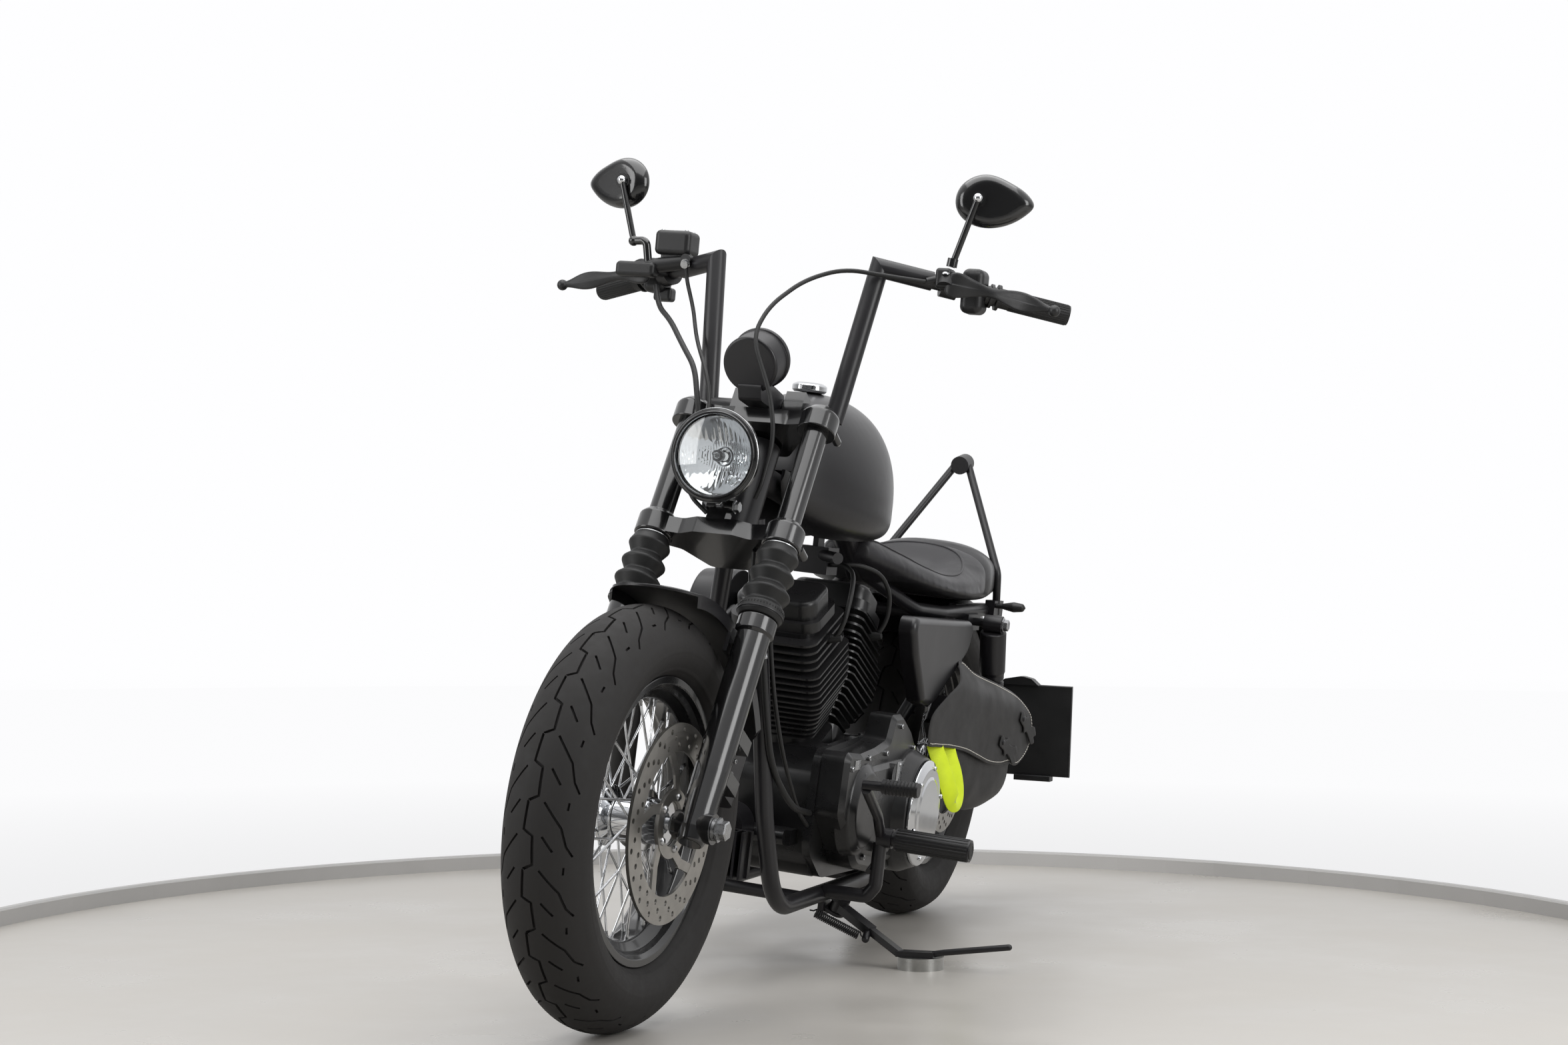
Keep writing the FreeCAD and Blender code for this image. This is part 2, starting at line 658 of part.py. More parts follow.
def lever(pivot, waist):
    # A blade that is broad on both sides of a narrow waist and ends in a ball
    tip = vec(*lever_tip)
    ribs = []
    for point, width in ((pivot, 13.0), (pivot + (waist - pivot) * 0.6, 14.0), (waist, 8.5),
                         (waist + (tip - waist) * 0.22, 12.0), (waist + (tip - waist) * 0.85, 7.0), (tip, 6.0)):
        ribs.append(blade_rib(point, tip - pivot, width))
    blade = Part.makeLoft(ribs, True, False)
    hub = Part.makeCylinder(13, 16, pivot - vec(0, 0, 8))
    return fuse([blade, Part.makeSphere(9.5, tip), hub])


def blade_rib(point, direction, width):
    # An upright oval across the lever, its long axis vertical
    way = unit(direction)
    up = unit(vec(0, -0.5, 0.866) - way * way.dot(vec(0, -0.5, 0.866)))
    side = way.cross(up)
    points = []
    for step in range(10):
        angle = 2 * math.pi * step / 10
        points.append(point + up * (width * math.sin(angle)) + side * (4.5 * math.cos(angle)))
    curve = Part.BSplineCurve()
    curve.interpolate(Points=points, PeriodicFlag=True)
    return Part.Wire(curve.toShape())


def bar_room():
    thick = rod(bar_at(bar_elbow[0]), bar_at(bar_neck_x + 0.3), bar_radius + seat_gap)
    return thick.fuse(rod(bar_at(bar_neck_x - 3), bar_at(bar_tip[0] + 40), bar_end_radius + running_gap))


def upright_block(centre, size, edge):
    # A rounded box that stands upright in the straightened machine, in fork coordinates
    box = Part.makeBox(size[0], size[1], size[2], vec(-size[0] / 2, -size[1] / 2, -size[2] / 2))
    box = box.makeFillet(edge, box.Edges)
    return placed(box, Placement(centre, Rotation(vec(1, 0, 0), rake_deg)))


def left_controls():
    pivot = vec(258, -8, 1003)
    shapes = [rod(bar_at(238), bar_at(262), bar_end_radius + 9), tube([bar_at(250), pivot], 11),
              upright_block(vec(252, -2, 1014), (26, 34, 34), 6),
              rod(vec(251, -8, 1012), vec(226, -11, 1001), 6),
              lever(pivot, vec(330, 18, 1005)),
              upright_block(bar_at(288), (38, 46, 74), 12),
              rod(bar_at(310), bar_at(314), 20), rod(bar_at(304), bar_at(318.5), 16)]
    return on_fork(fuse(shapes).cut(bar_room()))


def right_controls():
    # The brake's master cylinder under a square reservoir, its lever and the throttle housing
    pivot = vec(275, -8, 999)
    reservoir = upright_block(vec(238, -14, 1052), (66, 50, 42), 9)
    collar = upright_block(vec(238, -1, 1028), (46, 34, 20), 6)
    body = upright_block(vec(298, -10, 997), (74, 28, 26), 8)
    cylinder = rod(vec(205, -6, 1022), vec(290, -8, 1004), 13)
    banjo = Part.makeCylinder(9, 18, vec(206, -12, 1020), vec(0, -0.866, -0.5))
    perch = fuse([rod(bar_at(252), bar_at(272), bar_end_radius + 9), tube([bar_at(262), vec(268, -6, 1004)], 11),
                  reservoir, collar, body, cylinder, banjo, lever(pivot, vec(345, 4, 990))])
    housing = fuse([upright_block(bar_at(288), (40, 46, 60), 12),
                    upright_block(bar_at(288) + vec(-14, 18, -26), (34, 26, 24), 6),
                    rod(bar_at(310), bar_at(314), 20), rod(bar_at(304), bar_at(318.5), 16)])
    return on_fork(mirrored(fuse([perch, housing]).cut(bar_room())))


def mirror_head(pivot, facing_deg):
    # A drop-shaped shell, wider at the glass than at its back, pointing outboard
    drop = [(-42, -3), (-30, 27), (5, 43), (48, 31), (80, 10), (87, -3), (78, -17), (46, -38), (12, -45), (-25, -34)]
    ribs = []
    for depth, scale in ((-7.0, 0.55), (-3.0, 0.86), (6.0, 0.98), (14.0, 1.0), (18.0, 0.96)):
        points = [vec(20 + (x - 20) * scale, depth, z * scale) for x, z in drop]
        curve = Part.BSplineCurve()
        curve.interpolate(Points=points, PeriodicFlag=True)
        ribs.append(Part.Wire(curve.toShape()))
    head = Part.makeLoft(ribs, True, False)
    head.rotate(vec(0, 0, 0), vec(0, 0, 1), facing_deg)
    head.translate(pivot + vec(0, 10, 0))
    socket = Part.makeCylinder(13, 12, pivot + vec(0, -2, 0), vec(0, 1, 0))
    return [head, socket, Part.makeSphere(8, pivot + vec(0, -4, 0))]


def mirrors():
    left_foot = fork_point(257, -3, 1038)
    left_ball = fork_point(293, -58, 1139)
    left = mirror_head(left_ball, 14)
    left += [rod(left_foot, left_ball + vec(0, -4, 0), 5.5), rod(left_foot, left_foot + vec(2, 0, 14), 9)]
    foot = fork_point(-280, -14, 1010)
    bend = fork_point(-286, -34, 1041)
    stem_foot = fork_point(-311, -32, 1041)
    ball = fork_point(-346, -76, 1136)
    flipped = vec(-ball.x, ball.y, ball.z)
    right = [mirrored(s) for s in mirror_head(flipped, 16)]
    right += [tube([foot, bend, stem_foot], 7, 10), Part.makeSphere(9, stem_foot),
              rod(stem_foot, ball + vec(0, -4, 0), 5.5)]
    return Part.makeCompound([fuse(left), fuse(right)])


def speedometer():
    tilt = math.radians(dial_tilt_deg)
    facing = vec(0, math.cos(tilt), math.sin(tilt))
    can = turned_z([(0, 0, 0), (dial_radius, 0, 5), (dial_radius, dial_depth - 10, 1),
                    (dial_radius + 3, dial_depth - 8, 2), (dial_radius + 3, dial_depth, 2),
                    (dial_radius - 3, dial_depth, 0), (dial_radius - 4, dial_depth - 4, 0), (0, dial_depth - 4, 0)])
    can = along(can, vec(*dial_back), facing)
    bar_mid = fork_point(0, bar_base[1], bar_base[2])
    web = plate_x([(dial_back[1] + 6, dial_back[2] - 30, 4), (dial_back[1] + 50, dial_back[2] - 24, 4),
                   (bar_mid.y + 8, bar_mid.z + 24, 6), (bar_mid.y - 20, bar_mid.z - 4, 6),
                   (dial_back[1] + 14, dial_back[2] - dial_radius - 8, 8)], -20, 20)
    foot = disc_x(-24, 24, bar_mid.y, bar_mid.z, bar_radius + 4)
    bar_room = disc_x(-40, 40, bar_mid.y, bar_mid.z, bar_radius + running_gap)
    return fuse([can, web, foot]).cut(bar_room)


def fork_cables():
    # The clutch cable, the throttle cables and the brake line, each clear of the lamp's bowl
    clutch = [(223.5, -11.2, 999.8), (168, -44, 984), (104, -72, 974), (54, -96, 930), (20, -120, 858), (14, -130, 790),
              (60, -92, 700), (74, -66, 640), (66, -44, 566), (58, -34, 548)]
    throttle = [(-262, 6, 976), (-240, 2, 930), (-196, -22, 886), (-148, -46, 824), (-104, -60, 770),
                (-84, -54, 712), (-70, -26, 656), (-54, 20, 612)]
    brake = [(-206, -19.8, 1004.6), (-200, -8, 980), (-178, 6, 932), (-142, -16, 856), (-98, -38, 786),
             (-72, -34, 728), (-58, -44, 660), (-70, -36, 600), (-52, -40, 542), (-18.5, -27, 519)]
    lower_brake = [(58, 22, 483.2), (60, 40, 450), (64, 56, 405), (78, 63, 362), (81, 67, 315), (84, 78, 265),
                   (88, 94, 222), (88, 98, 185.5)]
    solids = []
    for route, radius in ((clutch, 3.6), (throttle, 4.6), (brake, 3.4), (lower_brake, 3.4)):
        solids.append(cable([fork_point(*p) for p in route], radius))
    return Part.makeCompound(solids)


def steering_parts():
    return {
        "lower_clamp": lower_clamp(),
        "upper_clamp": upper_clamp(),
        "fork_tubes": fork_tubes(),
        "fork_lowers": fork_lowers(),
        "fork_gaiters": fork_gaiters(),
        "front_axle": front_axle_shaft(),
        "front_caliper": front_caliper(),
        "front_fender": front_fender(),
        "headlight_shell": headlight_shell(),
        "headlight_reflector": headlight_reflector(),
        "headlight_lens": headlight_lens(),
        "handlebar": handlebar(),
        "grips": grips(),
        "left_controls": left_controls(),
        "right_controls": right_controls(),
        "mirrors": mirrors(),
        "speedometer": speedometer(),
        "fork_cables": fork_cables(),
    }


# Frame

head_low_s = lower_clamp_s + lower_clamp_height + head_gap
head_high_s = upper_clamp_s + 5 - head_gap


def head_tube():
    barrel = Part.makeCylinder(head_radius, head_high_s - head_low_s, vec(0, fork_offset, head_low_s))
    bore = Part.makeCylinder(stem_radius + running_gap, head_high_s - head_low_s + 10,
                             vec(0, fork_offset, head_low_s - 5))
    return on_fork(barrel), on_fork(bore)


def frame_backbone():
    barrel, bore = head_tube()
    start = fork_point(0, fork_offset, head_high_s - 50)
    spine = tube([start, vec(0, 110, 776), vec(0, 230, 700)], backbone_radius, 120)
    gusset = plate_x([(start.y, start.z, 0), (start.y + 130, start.z - 18, 0),
                      (start.y - 26, head_tube_low().z + 44, 0)], -5, 5)
    return fuse([barrel, spine, gusset]).cut(bore)


def head_tube_low():
    return fork_point(0, fork_offset, head_low_s)


def frame_cradle():
    # Two down tubes that bend under the engine and close in to the swingarm's pivot
    top = fork_point(0, fork_offset, head_low_s + 54)
    route = [vec(20, top.y + 18, top.z - 12), vec(70, -345, 300), vec(rail_half_spacing, -300, rail_z),
             vec(rail_half_spacing, 220, rail_z), vec(pivot_lug_x, 330, rail_z + 12),
             vec(pivot_lug_x, pivot_y, pivot_z - 30)]
    radii = [0, 200, 90, 70, 60, 0]
    path = rounded_wire(route, radii, False)
    circle = Part.Wire(Part.makeCircle(down_tube_radius, route[0], route[1] - route[0]))
    side = path.makePipeShell([circle], True, False)
    cross = [disc_x(-rail_half_spacing, rail_half_spacing, y, rail_z, 11) for y in (-130, 215)]
    lug = disc_x(pivot_lug_x - 14, pivot_lug_x + 12, pivot_y, pivot_z, 38)
    lug = lug.cut(disc_x(0, 200, pivot_y, pivot_z, 14))
    head_barrel, _ = head_tube()
    shapes = [side.cut(head_barrel), mirrored(side).cut(head_barrel), lug, mirrored(lug)] + cross
    # The side stand's pivot lug, a fork of two ears under the left rail
    axis = stand_axis()
    pivot = vec(*stand_pivot)
    ears = [along(fuse([Part.makeCylinder(17, 6, vec(0, 0, z)), block(-28, 0, -17, 17, z, z + 6)]), pivot, axis)
            for z in (-16, 10)]
    web = block(64, 75, 20, 60, rail_z - 50, rail_z)
    stand_pin = along(Part.makeCylinder(6, 34, vec(0, 0, -17)), pivot, axis)
    return fuse(shapes + ears + [web, stand_pin])


def frame_rear():
    # Seat rails from the backbone to the fender struts, with posts up from the swingarm pivot
    rail = tube([vec(12, 225, 700), vec(88, 330, 640), vec(104, 470, 634), vec(112, 840, 640)], seat_rail_radius, 60)
    post = tube([vec(pivot_lug_x, pivot_y, pivot_z + 30), vec(pivot_lug_x + 2, 378, 400), vec(98, 444, 510),
                 vec(100, 464, 622)], 13, 50)
    pad = block(98, 126, 600, 690, 600, 632)
    pin = disc_x(126, shock_x + 24, shock_top[0], shock_top[1], 8)
    side = fuse([rail, post, pad, pin])
    cross = disc_x(-100, 100, 470, 628, 12)
    return fuse([side, mirrored(side), cross])


def swingarm():
    axle = rear_axle
    outer = arm_inner_x + arm_width
    arm = plate_x([(pivot_y - 26, pivot_z - 26, 20), (pivot_y + 30, pivot_z - 30, 10), (axle.y - 60, axle.z - 24, 20),
                   (axle.y + 44, axle.z - 22, 12), (axle.y + 44, axle.z + 22, 12), (axle.y - 60, axle.z + 24, 20),
                   (pivot_y + 30, pivot_z + 30, 10), (pivot_y - 26, pivot_z + 26, 20)], arm_inner_x, outer)
    cross = disc_x(-arm_inner_x - 2, arm_inner_x + 2, pivot_y + 56, pivot_z, 16)
    pivot = disc_x(-outer - 4, outer + 4, pivot_y, pivot_z, 14)
    shaft = disc_x(-outer - 12, outer + 12, axle.y, axle.z, axle_radius)
    nuts = [disc_x(outer, outer + 10, axle.y, axle.z, 18), disc_x(-outer - 10, -outer, axle.y, axle.z, 18)]
    spacers = [disc_x(rear_disc_x + 4, arm_inner_x + 1, axle.y, axle.z, 17),
               disc_x(-arm_inner_x - 1, pulley_x - belt_width / 2 - 1, axle.y, axle.z, 17)]
    pin = disc_x(outer, shock_x + 22, shock_bottom[0], shock_bottom[1], 8)
    pad = plate_x([(shock_bottom[0] - 22, axle.z, 4), (shock_bottom[0] + 22, axle.z, 4),
                   (shock_bottom[0] + 12, shock_bottom[1] + 16, 6), (shock_bottom[0] - 12, shock_bottom[1] + 16, 6)],
                  outer - 12, outer + 4)
    return fuse([arm, mirrored(arm), cross, pivot, shaft, pin, mirrored(pin), pad, mirrored(pad)] + nuts + spacers)


def shock(side):
    top = vec(shock_x, *shock_top)
    bottom = vec(shock_x, *shock_bottom)
    length = (bottom - top).Length
    eye = [disc_x(shock_x - 18, shock_x + 18, p[0], p[1], 17) for p in (shock_top, shock_bottom)]
    coils = 9
    spring = [(6, 16, 0), (shock_radius, 16, 3), (shock_radius, length * 0.34, 2)]
    for index in range(coils):
        start = length * (0.36 + 0.5 * index / coils)
        pitch = length * 0.5 / coils
        spring += [(shock_radius - 2, start, 2), (shock_radius - 2, start + pitch * 0.6, 2),
                   (shock_radius - 8, start + pitch * 0.7, 0), (shock_radius - 8, start + pitch * 0.95, 0)]
    spring += [(shock_radius, length * 0.87, 2), (shock_radius, length - 18, 3), (6, length - 18, 0)]
    body = along(turned_z([(0, 10, 0)] + spring + [(0, length - 10, 0)]), top, bottom - top)
    room = [disc_x(shock_x - 30, shock_x + 40, p[0], p[1], 8 + running_gap) for p in (shock_top, shock_bottom)]
    whole = fuse([body] + eye).cut(Part.makeCompound(room))
    return whole if side > 0 else mirrored(whole)


# Engine

def cylinder_frame(tilt_deg):
    # A cylinder's own frame: +Z along its bore, from the crankshaft
    return Placement(vec(0, crank_y, crank_z), Rotation(vec(1, 0, 0), tilt_deg))


def cylinder(tilt_deg):
    fin_top = fin_first + fin_pitch * fin_count
    shapes = [Part.makeCylinder(barrel_radius, fin_top - cylinder_base + 2, vec(0, 0, cylinder_base))]
    neighbour = math.tan(math.radians(abs(cylinder_tilt_deg)))
    for index in range(fin_count):
        height = fin_first + fin_pitch * index
        depth = min(fin_half_width, height * neighbour - 3.5)
        width = 66 + (fin_half_width - 66) * min(1.0, index / 6)
        outline = [(-width, -depth, 20), (width, -depth, 20), (width, depth, 20), (-width, depth, 20)]
        shapes.append(plate_s(outline, height, height + fin_thickness))
    head_low = fin_top
    head_depth = min(fin_half_width - 4, head_low * neighbour - 4)
    core = plate_s([(-70, -62, 22), (70, -62, 22), (70, 62, 22), (-70, 62, 22)], head_low, head_low + head_height)
    shapes.append(core)
    for index in range(4):
        height = head_low + 2 + index * head_height / 4
        shapes.append(plate_s([(-86, -head_depth, 24), (86, -head_depth, 24), (86, head_depth, 24),
                               (-86, head_depth, 24)], height, height + fin_thickness + 1))
    port_side = -1 if tilt_deg > 0 else 1
    shapes.append(tube([vec(-20, 0, head_low + 24), vec(-60, port_side * -74, head_low + 20)], 22))
    return placed(fuse(shapes), cylinder_frame(tilt_deg))


def rocker_box(tilt_deg):
    low = fin_first + fin_pitch * fin_count + head_height + seat_gap
    base = plate_s([(-80, -60, 26), (80, -60, 26), (80, 60, 26), (-80, 60, 26)], low, low + 18)
    cap = plate_s([(-72, -50, 26), (72, -50, 26), (72, 50, 26), (-72, 50, 26)], low + 18, low + rocker_height)
    cap = cap.makeFillet(9, [e for e in cap.Edges if e.BoundBox.ZMin > low + rocker_height - 0.5])
    return placed(fuse([base, cap]), cylinder_frame(tilt_deg))


def crankcase():
    x = case_half_width
    case = plate_x([(-158, 210, 30), (-120, 178, 30), (240, 172, 30), (322, 210, 40), (322, 360, 30), (250, 398, 20),
                    (110, 402, 10), (52, 418, 8), (-28, 392, 8), (-112, 410, 8), (-166, 350, 40)], -x, x)
    deck = []
    room = []
    for tilt in (cylinder_tilt_deg, -cylinder_tilt_deg):
        frame = cylinder_frame(tilt)
        pad = plate_s([(-74, -50, 20), (74, -50, 20), (74, 50, 20), (-74, 50, 20)], 90, cylinder_base)
        deck.append(placed(pad, frame))
        sweep = plate_s([(-98, -54, 20), (98, -54, 20), (98, 54, 20), (-98, 54, 20)], cylinder_base, 240)
        room.append(placed(sweep, frame))
    mounts = [block(-70, 70, -196, -150, 236, 262), disc_x(-60, 60, -196, 249, 13)]
    flange = plate_x([(-184, 230, 40), (-100, 176, 60), (220, 166, 60), (318, 220, 60), (300, 360, 40), (180, 420, 30),
                      (60, 416, 20), (-170, 402, 30)], x - 2, primary_inner_x - 0.3)
    whole = fuse([case, flange] + deck + mounts)
    # The belt's sprocket stands in a pocket on the right, and the rear corner leaves room for the pivot's lugs
    pocket = block(-x - 10, belt_inner_x + 4, 165, 340, 150, 440)
    lug_room = disc_x(-x - 10, 83, pivot_y, pivot_z, 46)
    stub = disc_x(pulley_x - belt_width / 2 - 2, belt_inner_x + 5, clutch_y + 22, clutch_z + 8, sprocket_radius)
    return fuse([whole.cut(Part.makeCompound(room + [pocket, lug_room])), stub])


def primary_cover():
    outline = [(-176, 296, 24), (-60, 196, 60), (110, 168, 60), (clutch_y + 60, 180, 70), (clutch_y + 112, 240, 60),
               (clutch_y + 106, 330, 50), (252, 386, 30), (198, 428, 16), (140, 456, 14), (88, 456, 14),
               (64, 412, 14), (0, 402, 14), (-80, 396, 14), (-168, 404, 18)]
    body = plate_x(outline, primary_inner_x, primary_outer_x)
    rim_edges = [e for e in body.Edges if e.BoundBox.XMin > primary_outer_x - 0.1]
    body = body.makeChamfer(9, rim_edges)
    bulge = turned_x([(primary_outer_x - 20, 0, 0), (primary_outer_x - 20, clutch_bulge_radius, 0),
                      (primary_outer_x + 6, clutch_bulge_radius, 16), (clutch_outer_x, derby_radius + 2, 6),
                      (clutch_outer_x, 0, 0)])
    bulge.translate(vec(0, clutch_y, clutch_z))
    front_bulge = turned_x([(primary_outer_x - 20, 0, 0), (primary_outer_x - 20, 84, 0),
                            (primary_outer_x + 2, 80, 8), (primary_outer_x + 12, 64, 10), (primary_outer_x + 12, 0, 0)])
    front_bulge.translate(vec(0, crank_y - 40, crank_z))
    web = plate_x([(-110, 230, 20), (clutch_y, clutch_z - 96, 20), (clutch_y, clutch_z + 98, 20), (-110, 372, 20)],
                  primary_outer_x - 20, primary_outer_x + 10)
    web = web.makeChamfer(8, [e for e in web.Edges if e.BoundBox.XMin > primary_outer_x + 9.9])
    cap = disc_x(primary_outer_x, primary_outer_x + 16, 66, 352, 21)
    return fuse([body, bulge, front_bulge, web, cap])


def derby_cover():
    x = clutch_outer_x + seat_gap
    profile = [(x, 0, 0), (x, derby_radius, 2), (x + 6, derby_radius, 3), (x + derby_thickness, derby_radius - 16, 6),
               (x + derby_thickness, derby_radius - 30, 2), (x + derby_thickness + 2, derby_radius - 36, 2),
               (x + derby_thickness + 2, 0, 0)]
    cover = turned_x(profile)
    cover.translate(vec(0, clutch_y, clutch_z))
    return cover


def cam_cover():
    x = -case_half_width - seat_gap
    outline = [(-150, 260, 50), (-60, 200, 50), (150, 190, 40), (158, 260, 20), (158, 360, 20),
               (120, 392, 30), (40, 368, 20), (-100, 392, 30), (-150, 340, 40)]
    body = plate_x(outline, x - 46, x)
    body = body.makeFillet(8, [e for e in body.Edges if e.BoundBox.XMax < x - 45.9])
    points = disc_x(x - 56, x - 44, crank_y, crank_z - 30, 40)
    guard = plate_x([(120, 226, 10), (290, 226, 40), (314, 290, 40), (290, 346, 40), (120, 346, 10)],
                    x - 44, pulley_x - belt_width / 2 - 7)
    shapes = [body, points, guard]
    # Pushrod tubes up beside each head, outside the fins
    for tilt in (cylinder_tilt_deg, -cylinder_tilt_deg):
        frame = cylinder_frame(tilt)
        for offset in (-16, 16):
            low = frame.multVec(vec(x - 16, offset * 1.4, 66))
            high = frame.multVec(vec(x - 16, offset * 1.8, fin_first + fin_pitch * fin_count + 40))
            shapes.append(rod(low, high, 8))
        cap = frame.multVec(vec(x - 16, 0, fin_first + fin_pitch * fin_count + 40))
        way = frame.Rotation.multVec(vec(0, 1, 0))
        shapes.append(rod(cap - way * 38, cap + way * 38, 11))
    return fuse(shapes)


def air_cleaner():
    # A round can on the right, with its throat and intake pipes in the vee between the heads
    centre = vec(0, crank_y, 620)
    can = turned_x([(-206, 0, 0), (-206, 66, 8), (-198, 84, 6), (-136, 90, 4), (-128, 88, 2), (-128, 0, 0)])
    can.translate(centre + vec(0, 0, -24))
    throat = disc_x(-130, -16, centre.y, centre.z, 20)
    bowl = block(-124, -97, centre.y - 30, centre.y + 30, centre.z - 60, centre.z + 24)
    runners = [rod(vec(-24, centre.y, centre.z), vec(-24, centre.y + side * 62, centre.z - 4), 15)
               for side in (-1, 1)]
    return fuse([can, throat, bowl] + runners)


def exhaust():
    # Two header pipes that sweep forward and down to stacked mufflers on the right
    front_port = placed(Part.Vertex(vec(-60, -76, fin_first + fin_pitch * fin_count + 20)),
                        cylinder_frame(cylinder_tilt_deg)).Point
    rear_port = placed(Part.Vertex(vec(-60, 76, fin_first + fin_pitch * fin_count + 20)),
                       cylinder_frame(-cylinder_tilt_deg)).Point
    front = [front_port + vec(-8, -8, 0), front_port + vec(-60, -66, -14), vec(-202, -330, 480), vec(-206, -322, 290),
             vec(-200, -240, 214), vec(-196, 60, 206), vec(-236, 200, 204)]
    rear = [rear_port + vec(-8, 8, 0), rear_port + vec(-56, 20, -20), vec(-184, 140, 470), vec(-200, 160, 352),
            vec(-238, 306, 318)]
    pipes = [tube(front, 22, 44), tube(rear, 22, 34)]
    shields = [rod(vec(-202.5, -328, 455), vec(-205.8, -323, 312), 28)]
    mufflers = []
    for y0, y1, z in ((186, 800, 204), (286, 930, 318)):
        profile = [(0, 0, 0), (24, 0, 2), (44, 60, 30), (44, y1 - y0, 3), (34, y1 - y0, 2), (32, y1 - y0 - 60, 0),
                   (0, y1 - y0 - 60, 0)]
        mufflers.append(along(turned_z(profile), vec(-238, y0, z), vec(0, 1, 0)))
    # A strap inboard of both mufflers, held on the swingarm pivot's end
    bracket = plate_x([(420, 190, 6), (460, 190, 6), (460, 330, 6), (420, 330, 6)], -200, -192)
    hanger = plate_x([(pivot_y - 18, pivot_z - 20, 8), (450, 250, 8), (450, 276, 8), (pivot_y - 18, pivot_z + 18, 8)],
                     -194, -186)
    boss = disc_x(-190, -arm_inner_x - arm_width - 4.3, pivot_y, pivot_z, 16)
    return fuse(pipes + shields + mufflers + [bracket, hanger, boss])


# Bodywork

def fuel_tank():
    sections = [(-338, 36, 840, 880, 930), (-310, 62, 806, 862, 955), (-250, 100, 778, 846, 985),
                (-160, 132, 762, 832, 1003), (-80, 140, 757, 826, 1002), (0, 124, 757, 822, 988),
                (80, 98, 762, 816, 960), (160, 68, 768, 806, 914), (232, 36, 778, 796, 856)]
    ribs = [oval_section(*s) for s in sections]
    body = Part.makeLoft(ribs, True, False)
    # A tunnel for the backbone, and room for the clamp to turn about the steering axis
    start = fork_point(0, fork_offset, head_high_s - 50)
    tunnel = plate_x([(-420, 700, 0), (280, 700, 0), (280, 740, 0), (110, 802, 0), (start.y + 40, start.z + 24, 0),
                      (-420, start.z + 40, 0)], -30, 30)
    near_head = on_fork(Part.makeCylinder(head_radius + 8, 300, vec(0, fork_offset, head_low_s - 20)))
    swing = on_fork(Part.makeCylinder(fork_offset + 50, 120, vec(0, fork_offset, upper_clamp_s - 14)))
    return body.cut(Part.makeCompound([tunnel, near_head, swing]))


def fuel_cap():
    cap = turned_z([(0, 0, 0), (26, 0, 2), (30, 4, 2), (30, 13, 4), (22, 17, 3), (0, 17, 0)])
    return along(cap, vec(0, -158, 1003.4), vec(0, 0, 1))


def seat():
    sections = [(150, 46, 728, 748, 772), (200, 78, 704, 730, 764), (290, 122, 682, 706, 742),
                (400, 150, 668, 692, 722), (500, 160, 660, 690, 716), (590, 158, 656, 696, 738),
                (650, 150, 656, 706, 768), (720, 136, 660, 706, 774), (800, 122, 664, 706, 766),
                (890, 104, 668, 704, 752), (950, 70, 676, 700, 728)]
    body = Part.makeLoft([oval_section(*s, flatness=5.0, crown=2.6) for s in sections], True, False)
    return body


def rear_fender():
    inner = 338.0
    sheet = 3.0
    half = 84.0
    profile = [(-half, 304, 0), (-half + sheet, 304, 0), (-half + sheet, inner - 6, 26), (0, inner, 0),
               (half - sheet, inner - 6, 26), (half - sheet, 304, 0), (half, 304, 0), (half, inner - 2, 28),
               (0, inner + sheet + 1, 0), (-half, inner - 2, 28)]
    shell = turned_x(profile, start_deg=-72, sweep_deg=112)
    shell = at_rear_axle(shell)
    strut = block(half - 1, 98, 600, 860, 628, 650)
    return fuse([shell, strut, mirrored(strut)])


def sissy_bar():
    # A narrow triangle of thin tube with a short roller across its top
    top = vec(0, 885, 933)
    leg = tube([vec(128, 806, 632), vec(128, 782, 716), vec(14, 884, 930)], 8, 26)
    pad = rod(top + vec(0, -22, -4), top + vec(0, 22, 4), 19)
    lug = block(114, 134, 764, 836, 626, 660)
    return fuse([leg, mirrored(leg), pad, lug, mirrored(lug)])


def rear_signals():
    # A slim teardrop lamp on a short stalk each side, off the fender strut
    lamp = turned_z([(0, 0, 0), (5, 0, 1), (5.5, 14, 6), (10.5, 38, 10), (8, 58, 6), (0, 63, 0)])
    lamp = along(lamp, vec(134.3, 772, 650), vec(1, 0, 0.04))
    return both_sides(lamp)


def turned_upright(shape):
    # The number plate stands straighter than the leaned machine does
    shape.rotate(vec(173, 1046, 385), vec(0, 1, 0), -4.4)
    return shape


def plate_carrier():
    # An arm from the left end of the rear axle to a backing plate with an arched lamp above
    back = plate_x([(1036, 290, 3), (1046, 290, 3), (1046, 484, 3), (1036, 484, 3)], 86, 262)
    arch_points = [(100, 482), (116, 494), (152, 501), (174, 496), (190, 482)]
    wire = rounded_wire([vec(x, 1030, z) for x, z in arch_points], [0, 10, 30, 10, 0], True)
    arch = Part.Face(wire).extrude(vec(0, 30, 0))
    blade = plate_x([(1020, 280, 2), (1052, 280, 2), (1052, 292, 2), (1020, 292, 2)], 146, 224)
    arm = tube([vec(162, rear_axle.y, rear_axle.z), vec(162, 880, 320), vec(162, 1040, 372)], 9, 60)
    lug = disc_x(arm_inner_x + arm_width + 12.3, arm_inner_x + arm_width + 30, rear_axle.y, rear_axle.z, 20)
    return fuse([turned_upright(fuse([back, arch, blade])), arm, lug])


def licence_plate():
    outline = [(90, 296), (258, 296), (258, 479), (90, 479)]
    points = [vec(x, 1046.3, z) for x, z in outline]
    return turned_upright(Part.Face(rounded_wire(points, [9] * 4, True)).extrude(vec(0, 2, 0)))


